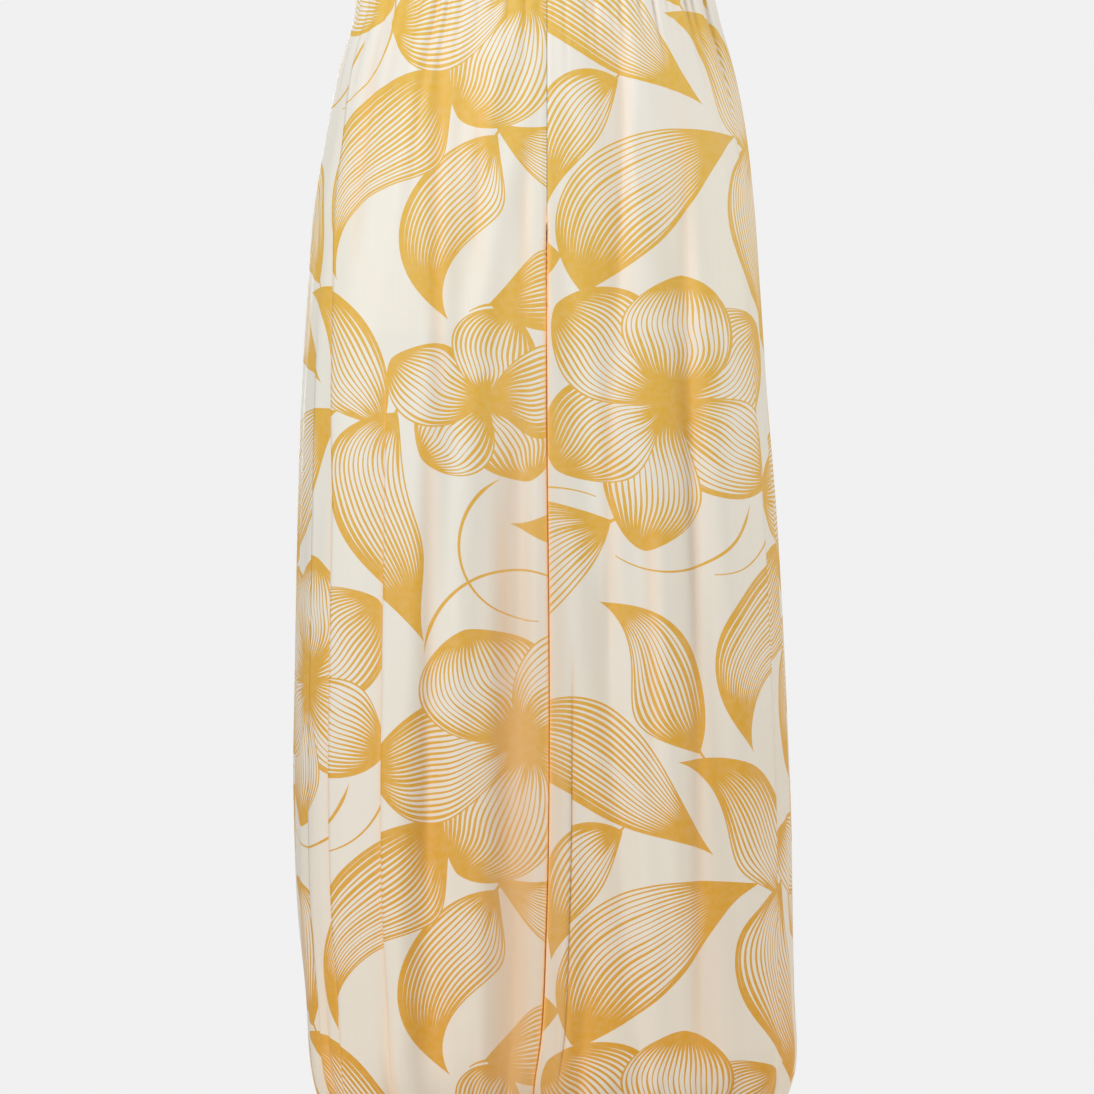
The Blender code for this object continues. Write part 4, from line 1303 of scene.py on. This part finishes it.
def lining_row(leg, height):
    """A level row of the lining, from the front centre seam round to the back one."""
    deep = smooth_step((PANEL_TOP - height) / LINING_INSET_DEPTH)
    below_band = smooth_step((PANEL_TOP - height) / LINING_SEWN_DEPTH)
    top_inset = mix(LINING_SEWN_INSET, LINING_TOP_INSET, below_band)
    inset = mix(top_inset, LINING_INSET, deep)
    faces, lengths = [], []
    for face in ("front", "back"):
        points, normals, distance = section(leg, face, height, inset, LINING_RISE)
        sewn = smooth_step((height - (CROTCH + LINING_RISE)) / LINING_SEAM_ENDS + 1.0)
        place = np.linspace(0.0, distance[-1], LINING_COLUMNS + 1)
        phase = LINING_WAVE_STARTS[face]
        share = place / distance[-1]
        drop = ramp(height, PANEL_TOP, LINING_HEM)
        wave = np.sin(LINING_WAVE_TURNS * share + phase + LINING_WAVE_DRIFT * drop)
        out = -LINING_WAVE * drop * (1 + wave)
        out *= np.sin(math.pi * share) ** 0.5
        x, y = (np.interp(place, distance, points[:, axis])
                + out * np.interp(place, distance, normals[:, axis]) for axis in (0, 1))
        held = sewn * (1.0 - smooth_step(place / LINING_SEAM_REACH))
        x = mix(x, LINING_HALF_GAP, held)
        faces.append(lean(np.maximum(x, LINING_HALF_GAP), y, height, leg))
        lengths.append(place)
    flat = np.concatenate([lengths[0][:-1], lengths[0][-1] + lengths[1][-1] - lengths[1][::-1]])
    return np.vstack([faces[0][:-1], faces[1][::-1]]), flat


LININGS = {}
lining_heights = np.concatenate([
    np.linspace(PANEL_TOP, CROTCH_BEND + LINING_RISE, LINING_ROWS["hips"])[:-1],
    crotch_heights(LINING_ROWS["crotch"], LINING_RISE),
    np.linspace(CROTCH + LINING_RISE, LINING_HEM, LINING_ROWS["legs"])[1:]])
for leg in ("left", "right"):
    rows = [lining_row(leg, height) for height in lining_heights]
    points = np.array([row[0] for row in rows])
    across = np.array([row[1] for row in rows])
    down = np.repeat((PANEL_TOP - lining_heights)[:, None], points.shape[1], axis=1)
    mesh = sheet_mesh(f"lining_{leg}_cloth", points, across, down, flip=leg == "right")
    piece = add_object(f"lining_{leg}_leg", mesh, LINING_CLOTH, LINING_CLOTH)
    thicken(piece, LINING_THICKNESS)
    LININGS[leg] = (piece, points)
    print(piece.name, len(mesh.polygons), "quads")

# %% [markdown]
# ## Ruched casings
# The waistband and the cuffs are casings: the cloth is folded double round an elastic and
# sewn along its edge. The stretched seam lets go and the cloth ruches into close upright
# ribs. The plain casing is a closed ring; Geometry Nodes then press the ribs into it, with
# their number, depth and unevenness as named inputs.

# %% A plain casing ring
CASING_THICKNESS = 0.0030
CASING_ROWS = 12
CASING_ROUND = 5
CASING_CALM = 0.22       # share of the height over which ribs grow from an edge
RIBS_AT_EDGE = 0.25
INNER_FACE_RIBS = 0.4


def casing_profile(height):
    """Points (out, up) round a casing's cut: outer face, top edge, inner face, bottom edge."""
    half = CASING_THICKNESS / 2
    rise = height / 2 - half
    turn = np.linspace(0.0, math.pi, CASING_ROUND + 2)[1:-1]
    up = np.linspace(-rise, rise, CASING_ROWS)
    parts = []
    for side, angles in ((1, turn), (-1, turn + math.pi)):
        parts.append(np.column_stack([np.full(CASING_ROWS, side * half), side * up]))
        edge = [half * np.cos(angles), side * rise + half * np.sin(angles)]
        parts.append(np.column_stack(edge))
    return np.vstack(parts)


def wrapped(values, total):
    """Corner values of quads that cross a ring's join, made to run on past the total."""
    crosses = values.max(1) - values.min(1) > total / 2
    return np.where(crosses[:, None] & (values < total / 2), values + total, values)


def casing(name, ring, outward, middle, height, fullness, cut_at):
    """A closed ring of casing: ring is its outer line, outward its level normals."""
    profile = casing_profile(height)
    rows, columns = len(profile), len(ring)
    steps = np.linalg.norm(np.roll(ring, -1, axis=0) - ring, axis=1)
    around = np.concatenate([[0.0], np.cumsum(steps)[:-1]])
    up_steps = np.linalg.norm(np.roll(profile, -1, axis=0) - profile, axis=1)
    walked = np.concatenate([[0.0], np.cumsum(up_steps)[:-1]])
    out = profile[:, :1, None] - CASING_THICKNESS / 2
    level = ring[None] + outward[None] * out
    up = np.broadcast_to(middle + profile[:, 1:, None], (rows, columns, 1))
    points = np.concatenate([level, up], axis=2)
    here = np.arange(rows * columns).reshape(rows, columns)
    above = np.roll(here, -1, axis=0)
    quads = [here, np.roll(here, -1, axis=1), np.roll(above, -1, axis=1), above]
    quads = np.stack(quads, axis=-1).reshape(-1, 4)
    mesh = quad_mesh(name, points, quads)
    grid_around = np.tile(around, rows)
    grid_walked = np.repeat(walked, columns)
    total = float(steps.sum())
    across = wrapped(grid_around[quads], total) * fullness + cut_at[0]
    down = cut_at[1] - wrapped(grid_walked[quads], float(up_steps.sum()))
    write_flat(mesh, across, down)
    calm = (height / 2 - np.abs(profile[:, 1])) / (height * CASING_CALM)
    size = mix(RIBS_AT_EDGE, 1.0, np.clip(calm, 0.0, 1.0))
    size = size * np.where(profile[:, 0] > 0, 1, -INNER_FACE_RIBS)
    push = np.tile(np.column_stack([outward, np.zeros(columns)]), (rows, 1))
    point_data(mesh, "push", push * np.repeat(size, columns)[:, None])
    point_data(mesh, "around", grid_around)
    point_data(mesh, "upward", np.repeat(profile[:, 1], columns))
    return mesh, total


# %% The ruching tree
RIB_WANDER = dict(around=95.0, upward=26.0, size=9.0)
BROAD_RIBS = dict(turns=0.37, shift=1.7, size=0.45)
RIB_MIDDLE = 0.6         # taken off, so that ribs press in further than they stand out


def geometry_tree(name, inputs):
    """A new tree with named inputs, the wiring of its nodes and its inputs' results."""
    tree = bpy.data.node_groups.new(name, "GeometryNodeTree")
    tree.interface.new_socket("Geometry", in_out="INPUT", socket_type="NodeSocketGeometry")
    for word, kind, default in inputs:
        socket = tree.interface.new_socket(word, in_out="INPUT", socket_type="NodeSocket" + kind)
        if default is not None:
            socket.default_value = default
    tree.interface.new_socket("Geometry", in_out="OUTPUT", socket_type="NodeSocketGeometry")
    sums = Sums(tree)
    return tree, sums, sums.node("NodeGroupInput").outputs


def finish_tree(sums, geometry, material):
    """Gives the made geometry its material and hands it out."""
    dress = sums.node("GeometryNodeSetMaterial", Geometry=geometry, Material=material)
    sums.node("NodeGroupOutput", Geometry=dress.outputs[0])


def make_ruching():
    """Geometry Nodes that press uneven upright ribs into a casing."""
    tree, sums, given = geometry_tree("ruching", (
        ("Rib pitch", "Float", 0.006), ("Rib depth", "Float", 0.001),
        ("Unevenness", "Float", 1.0), ("Seed", "Float", 0.0), ("Cloth", "Material", None)))
    around, upward, push = (
        sums.node("GeometryNodeInputNamedAttribute", dict(data_type=kind), Name=word)
        .outputs["Attribute"]
        for word, kind in (("around", "FLOAT"), ("upward", "FLOAT"), ("push", "FLOAT_VECTOR")))
    where = sums.node("ShaderNodeCombineXYZ", X=sums.times(around, RIB_WANDER["around"]),
                      Y=sums.times(upward, RIB_WANDER["upward"]), Z=given["Seed"])
    wander = sums.noise(where.outputs[0], 1.0)
    shift = sums.times(sums.minus(wander, 0.5), RIB_WANDER["size"])
    shift = sums.times(shift, given["Unevenness"])
    turns = sums.times(sums("DIVIDE", around, given["Rib pitch"]), 2 * math.pi)
    rib = sums("SINE", sums.plus(turns, shift))
    broad = sums("SINE", sums.plus(sums.times(turns, BROAD_RIBS["turns"]),
                                   sums.times(shift, BROAD_RIBS["shift"])))
    shape = sums.scaled(broad, BROAD_RIBS["size"], rib)
    amount = sums.times(sums.minus(shape, RIB_MIDDLE), given["Rib depth"])
    offset = sums.node("ShaderNodeVectorMath", dict(operation="SCALE"), Vector=push,
                       Scale=amount)
    move = sums.node("GeometryNodeSetPosition", Geometry=given["Geometry"],
                     Offset=offset.outputs[0])
    real = sums.node("GeometryNodeRealizeInstances", Geometry=move.outputs[0])
    finish_tree(sums, real.outputs[0], given["Cloth"])
    return tree


RUCHING = make_ruching()


def made_by(tree, piece, **values):
    """Runs a tree on a piece with the named inputs and keeps the result as a plain mesh."""
    modifier = piece.modifiers.new("Making", "NODES")
    modifier.node_group = tree
    for item in tree.interface.items_tree:
        word = item.name.lower().replace(" ", "_")
        if item.in_out == "INPUT" and word in values:
            modifier[item.identifier] = values[word]
    bpy.context.view_layer.update()
    seen = piece.evaluated_get(bpy.context.evaluated_depsgraph_get())
    mesh = bpy.data.meshes.new_from_object(seen)
    piece.modifiers.remove(modifier)
    old = piece.data
    piece.data = mesh
    mesh.name = piece.name + "_mesh"
    bpy.data.meshes.remove(old)
    return piece


print("tree inputs:", [item.name for item in RUCHING.interface.items_tree])

# %% [markdown]
# ## Waistband and cuffs
# The waistband follows the top edge of the four panels and stands a little proud of them.
# Each cuff is a round ring at the ankle. Both are cut from the printed cloth too, so the
# print runs over them, squeezed together by the ruching.

# %% Build the waistband
BAND_COLUMNS = 640
BAND_PROUD = 0.0012
BAND_FULLNESS = 1.35
BAND_RIBS = dict(rib_pitch=0.0070, rib_depth=0.00105, unevenness=1.0, seed=2.0)
BAND_CUT_AT = (0.050, 0.020)


def level_normals(ring):
    """Outward normals of a ring that runs anticlockwise seen from above."""
    tangent = np.roll(ring, -2, axis=0) - np.roll(ring, 2, axis=0)
    outward = np.column_stack([tangent[:, 1], -tangent[:, 0]])
    return outward / np.hypot(*outward.T)[:, None]


def waist_ring():
    """The panels' top line all round, evenly spaced and a little proud of them."""
    parts = []
    for leg, face, way in (("left", "front", 1), ("left", "back", -1),
                           ("right", "back", 1), ("right", "front", -1)):
        points, normals, _ = section(leg, face, PANEL_TOP)
        side = 1.0 if leg == "left" else -1.0
        parts.append(((points + normals * BAND_PROUD) * (side, 1.0))[::way])
    line = np.vstack(parts)
    line = line[np.concatenate([[True], np.hypot(*np.diff(line, axis=0).T) > TINY])]
    loop = np.vstack([line, line[:1]])
    walked = np.concatenate([[0.0], np.cumsum(np.hypot(*np.diff(loop, axis=0).T))])
    at = np.linspace(0.0, walked[-1], BAND_COLUMNS + 1)[:-1]
    return np.column_stack([np.interp(at, walked, loop[:, k]) for k in (0, 1)])


def build_casing(name, ring, middle, height, fullness, cut_at, ribs):
    """A ruched casing piece and its length round the body."""
    mesh, total = casing(name + "_cloth", ring, level_normals(ring), middle, height,
                         fullness, cut_at)
    print_on(mesh)
    piece = add_object(name, mesh, PRINTED)
    made_by(RUCHING, piece, cloth=PRINTED, **ribs)
    print(name, "is", round(total, 3), "m round,", len(piece.data.polygons), "faces")
    return piece, total


WAISTBAND, BAND_LENGTH = build_casing("waistband_casing", waist_ring(), 0.0, BAND_HEIGHT,
                                      BAND_FULLNESS, BAND_CUT_AT, BAND_RIBS)

# %% Build the ankle cuffs
CUFF_COLUMNS = 288
CUFF_FULLNESS = 1.45
CUFF_RIBS = dict(rib_pitch=0.0062, rib_depth=0.00105, unevenness=1.0)
CUFF_MIDDLE = PANEL_BOTTOM - SEAM_GAP - CUFF_HEIGHT / 2
CUFF_CUT_AT = {"left": (0.21, 0.30), "right": (0.36, 0.11)}
CUFFS = {}
for number, leg in enumerate(("left", "right")):
    side = 1.0 if leg == "left" else -1.0
    angles = np.linspace(0.0, 2 * math.pi, CUFF_COLUMNS + 1)[:-1]
    radius = CUFF_RADIUS + BAND_PROUD / 2
    ring = np.column_stack([side * CUFF_CENTRE_X + radius * np.sin(angles),
                            CUFF_CENTRE_Y - radius * np.cos(angles)])
    CUFFS[leg] = build_casing(f"cuff_{leg}_casing", ring, CUFF_MIDDLE, CUFF_HEIGHT,
                              CUFF_FULLNESS, CUFF_CUT_AT[leg],
                              dict(CUFF_RIBS, seed=5.0 + number))

# %% [markdown]
# ## Stitches
# The casings are sewn through along both edges, and the lining has a sewn hem. A row of
# stitches repeats one small form along a line, which is what Geometry Nodes are best at: a
# line becomes a curve, the curve is cut into equal steps, and a short, rounded stitch is put
# on each step, turned along the line.

# %% The stitching tree
SLANTS = dict(Min=0.2, Max=1.8)      # shares of the slant that a stitch leans by
THREAD_PALE = (0.78, 0.70, 0.55, 1.0)
THREAD_DARK = (0.62, 0.53, 0.38, 1.0)
THREAD_TONE = (0.5, 0.1)
THREAD_ROUGHNESS = (0.2, 0.5)
THREAD_FIBRES = 2500.0
THREAD_TWIST = dict(scale=5200.0, strength=0.4, depth=0.0001)


def make_stitching():
    """Geometry Nodes that put a short rounded stitch on each step along a line."""
    tree, sums, given = geometry_tree("stitching", (
        ("Stitch pitch", "Float", 0.0026), ("Stitch length", "Float", 0.0019),
        ("Thread", "Float", 0.00042), ("Slant", "Float", 0.12), ("Seed", "Int", 1),
        ("Finish", "Material", None)))
    curve = sums.node("GeometryNodeMeshToCurve", Mesh=given["Geometry"])
    even = sums.node("GeometryNodeResampleCurve", dict(mode="LENGTH"),
                     Curve=curve.outputs[0], Length=given["Stitch pitch"])
    ball = sums.node("GeometryNodeMeshUVSphere", Segments=6, Rings=5, Radius=0.5)
    along_it = sums.node("GeometryNodeInputTangent")
    turn = sums.node("FunctionNodeAlignRotationToVector", dict(axis="X"),
                     Vector=along_it.outputs[0])
    wobble = sums.node("FunctionNodeRandomValue", dict(data_type="FLOAT"), Seed=given["Seed"])
    for socket in wobble.inputs:
        if socket.type == "VALUE" and socket.name in SLANTS:
            sums.feed(socket, sums.times(given["Slant"], SLANTS[socket.name]))
    drawn = next(s for s in wobble.outputs if s.type == "VALUE")
    tilt = sums.node("ShaderNodeCombineXYZ", Y=drawn)
    rotate = sums.node("FunctionNodeRotateRotation", dict(rotation_space="LOCAL"))
    sums.feed(rotate.inputs[0], turn.outputs[0])
    sums.feed(rotate.inputs[1], tilt.outputs[0])
    size = sums.node("ShaderNodeCombineXYZ", X=given["Stitch length"], Y=given["Thread"],
                     Z=given["Thread"])
    put = sums.node("GeometryNodeInstanceOnPoints", Points=even.outputs[0],
                    Instance=ball.outputs[0], Rotation=rotate.outputs[0],
                    Scale=size.outputs[0])
    real = sums.node("GeometryNodeRealizeInstances", Geometry=put.outputs[0])
    soft = sums.node("GeometryNodeSetShadeSmooth", Geometry=real.outputs[0])
    finish_tree(sums, soft.outputs[0], given["Finish"])
    return tree


def thread_finish():
    """Matt cream sewing thread with the twist of its yarns."""
    material, sums, shader = blank_material("sewing_thread")
    place = sums.node("ShaderNodeTexCoord").outputs["Object"]
    tone = sums.scaled(sums.noise(place, THREAD_FIBRES), *THREAD_TONE)
    set_finish(sums, shader, sums.colours(tone, THREAD_PALE, THREAD_DARK),
               sums.scaled(tone, *THREAD_ROUGHNESS))
    raised(sums, shader, sums.noise(place, THREAD_TWIST["scale"]), THREAD_TWIST["strength"],
           THREAD_TWIST["depth"])
    return material


STITCHING = make_stitching()
THREAD = thread_finish()
print("stitching inputs:", [item.name for item in STITCHING.interface.items_tree])


# %% Sew the rows
EDGE_ROWS = (0.13, 0.87)     # shares of a casing's height
STITCH_LIFT = 0.00008
HEM_UP = 0.011
HEM_SEED = 9


def sewn_row(name, lines, **sizes):
    """Stitches along lines of points; a line whose last point is its first is a ring."""
    mesh = bpy.data.meshes.new(name + "_line")
    points, edges = [], []
    for line in lines:
        first = len(points)
        closed = np.linalg.norm(line[0] - line[-1]) < TINY
        kept = line[:-1] if closed else line
        points.extend(kept.tolist())
        edges.extend((first + k, first + k + 1) for k in range(len(kept) - 1))
        if closed:
            edges.append((first + len(kept) - 1, first))
    mesh.from_pydata(points, edges, [])
    piece = add_object(name, mesh)
    return made_by(STITCHING, piece, finish=THREAD, **sizes)


def casing_line(piece, columns, share):
    """A line round a casing's outer face at a share of its height, just on the cloth."""
    places = np.empty(len(piece.data.vertices) * 3, np.float32)
    piece.data.vertices.foreach_get("co", places)
    grid = places.reshape(-1, columns, 3)[:CASING_ROWS]
    row = share * (CASING_ROWS - 1)
    low = int(row)
    line = mix(grid[low], grid[low + 1], row - low)
    line = line + np.column_stack([level_normals(line[:, :2]), np.zeros(columns)]) * STITCH_LIFT
    return np.vstack([line, line[:1]])


SEWN = {}
for name, piece, columns in (("waistband_stitches", WAISTBAND, BAND_COLUMNS),
                             ("cuff_left_stitches", CUFFS["left"][0], CUFF_COLUMNS),
                             ("cuff_right_stitches", CUFFS["right"][0], CUFF_COLUMNS)):
    lines = [casing_line(piece, columns, share) for share in EDGE_ROWS]
    SEWN[name] = sewn_row(name, lines, seed=len(SEWN))
for leg, (piece, points) in LININGS.items():
    row = int(np.argmin(np.abs(lining_heights - (LINING_HEM + HEM_UP))))
    name = f"lining_{leg}_hem_stitches"
    SEWN[name] = sewn_row(name, [points[row]], seed=HEM_SEED)
for piece in SEWN.values():
    print(piece.name, len(piece.data.polygons), "faces")

# %% [markdown]
# ## Each piece on the garment's body
# Every piece rides on the garment's one body. The plain solids that the panels, linings and
# casings stand for are hidden, and the casings' cut sizes are printed.

print("panels' flat sizes:")
for (leg, face), (piece, points, across, down) in PANELS.items():
    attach(piece, "root")
    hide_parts(f"{face}_{leg}")
for leg, (piece, points) in LININGS.items():
    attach(piece, "root")
    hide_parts(f"lining_{leg}")
casings = [(WAISTBAND, BAND_LENGTH, BAND_HEIGHT, "waistband", BAND_FULLNESS)]
casings += [(*CUFFS[leg], CUFF_HEIGHT, f"cuff_{leg}", CUFF_FULLNESS) for leg in CUFFS]
for piece, total, height, node, fullness in casings:
    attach(piece, "root")
    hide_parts(node)
    print(" ", piece.name, round(total * fullness, 3), "x", height, "m, cut double")
for name, piece in SEWN.items():
    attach(piece, "root")

# %% [markdown]
# ## Floor, light and camera
# The garment hangs in front of a plain pale ground in even light. A long lens far away, as
# in a studio, keeps the outline flat. The picture is a close crop: it starts just under the
# waistband and ends in the balloon of the legs.

# %% Stage
FLOOR_RADIUS = 0.70
FLOOR_HEIGHT = PANEL_BOTTOM - CUFF_HEIGHT - 0.004
PALE = 0.878
AMBIENT = 0.50
BACKDROP_RADIUS = 9.0


def floor():
    mesh = bpy.data.meshes.new("floor_disc")
    disc = bmesh.new()
    bmesh.ops.create_circle(disc, cap_ends=True, segments=96, radius=FLOOR_RADIUS)
    bmesh.ops.translate(disc, verts=disc.verts, vec=(0, 0, FLOOR_HEIGHT))
    disc.to_mesh(mesh)
    disc.free()
    material, _, shader = blank_material("pale_floor")
    shader.inputs["Base Color"].default_value = (0.80, 0.80, 0.80, 1.0)
    shader.inputs["Roughness"].default_value = 0.8
    piece = add_object("studio_floor", mesh, material)
    return piece


def area_light(name, place, aim, size, power, colour=(1.0, 1.0, 1.0)):
    data = bpy.data.lights.new(name, "AREA")
    data.shape = "RECTANGLE"
    data.size, data.size_y = size
    data.energy = power
    data.color = colour
    light = bpy.data.objects.new(name, data)
    bpy.context.scene.collection.objects.link(light)
    light.visible_camera = False
    light.location = place
    light.rotation_euler = (Vector(aim) - Vector(place)).to_track_quat("-Z", "Y").to_euler()
    return light


def backdrop():
    """A pale dome behind everything that only the camera sees, so that the soft light on
    the cloth keeps its direction."""
    mesh = bpy.data.meshes.new("backdrop_dome")
    ball = bmesh.new()
    bmesh.ops.create_uvsphere(ball, u_segments=48, v_segments=24, radius=BACKDROP_RADIUS)
    bmesh.ops.reverse_faces(ball, faces=ball.faces)
    ball.to_mesh(mesh)
    ball.free()
    material = bpy.data.materials.new("pale_backdrop")
    material.use_nodes = True
    tree = material.node_tree
    tree.nodes.remove(tree.nodes["Principled BSDF"])
    glow = tree.nodes.new("ShaderNodeEmission")
    glow.inputs["Color"].default_value = (PALE, PALE, PALE, 1.0)
    tree.links.new(glow.outputs[0], tree.nodes["Material Output"].inputs["Surface"])
    piece = add_object("studio_backdrop", mesh, material)
    for ray in ("diffuse", "glossy", "transmission", "volume_scatter", "shadow"):
        setattr(piece, f"visible_{ray}", False)
    return piece


floor()
backdrop()
MIDDLE = (0.0, 0.0, -0.50)
area_light("key_softbox", (-1.75, -2.6, 0.7), MIDDLE, (1.2, 2.2), 90.0, (1.0, 0.99, 0.97))
area_light("fill_softbox", (3.0, -1.2, 0.3), MIDDLE, (1.4, 2.2), 30.0, (1.0, 0.95, 0.87))
area_light("side_softbox", (3.2, 0.7, 0.3), MIDDLE, (1.4, 2.2), 46.0, (1.0, 0.94, 0.85))
area_light("back_softbox", (-0.6, 3.1, 0.6), MIDDLE, (1.6, 2.2), 62.0)
world = bpy.data.worlds.new("studio")
world.use_nodes = True
world.node_tree.nodes["Background"].inputs["Color"].default_value = (1.0, 0.975, 0.935, 1.0)
world.node_tree.nodes["Background"].inputs["Strength"].default_value = AMBIENT
bpy.context.scene.world = world
bpy.context.scene.view_settings.view_transform = "Standard"

# %% Camera
CAMERA_AWAY = 3.5
CAMERA_HEIGHT = -0.493
FRAME_WIDTH = 0.930
SENSOR = 36.0
camera_data = bpy.data.cameras.new("camera")
camera_data.sensor_width = SENSOR
camera_data.lens = SENSOR * CAMERA_AWAY / FRAME_WIDTH
camera = bpy.data.objects.new("camera", camera_data)
bpy.context.scene.collection.objects.link(camera)
camera.location = (0.0, -CAMERA_AWAY, CAMERA_HEIGHT)
camera.rotation_euler = (math.pi / 2, 0.0, 0.0)
bpy.context.scene.camera = camera
print("lens:", round(camera_data.lens, 1), "mm")
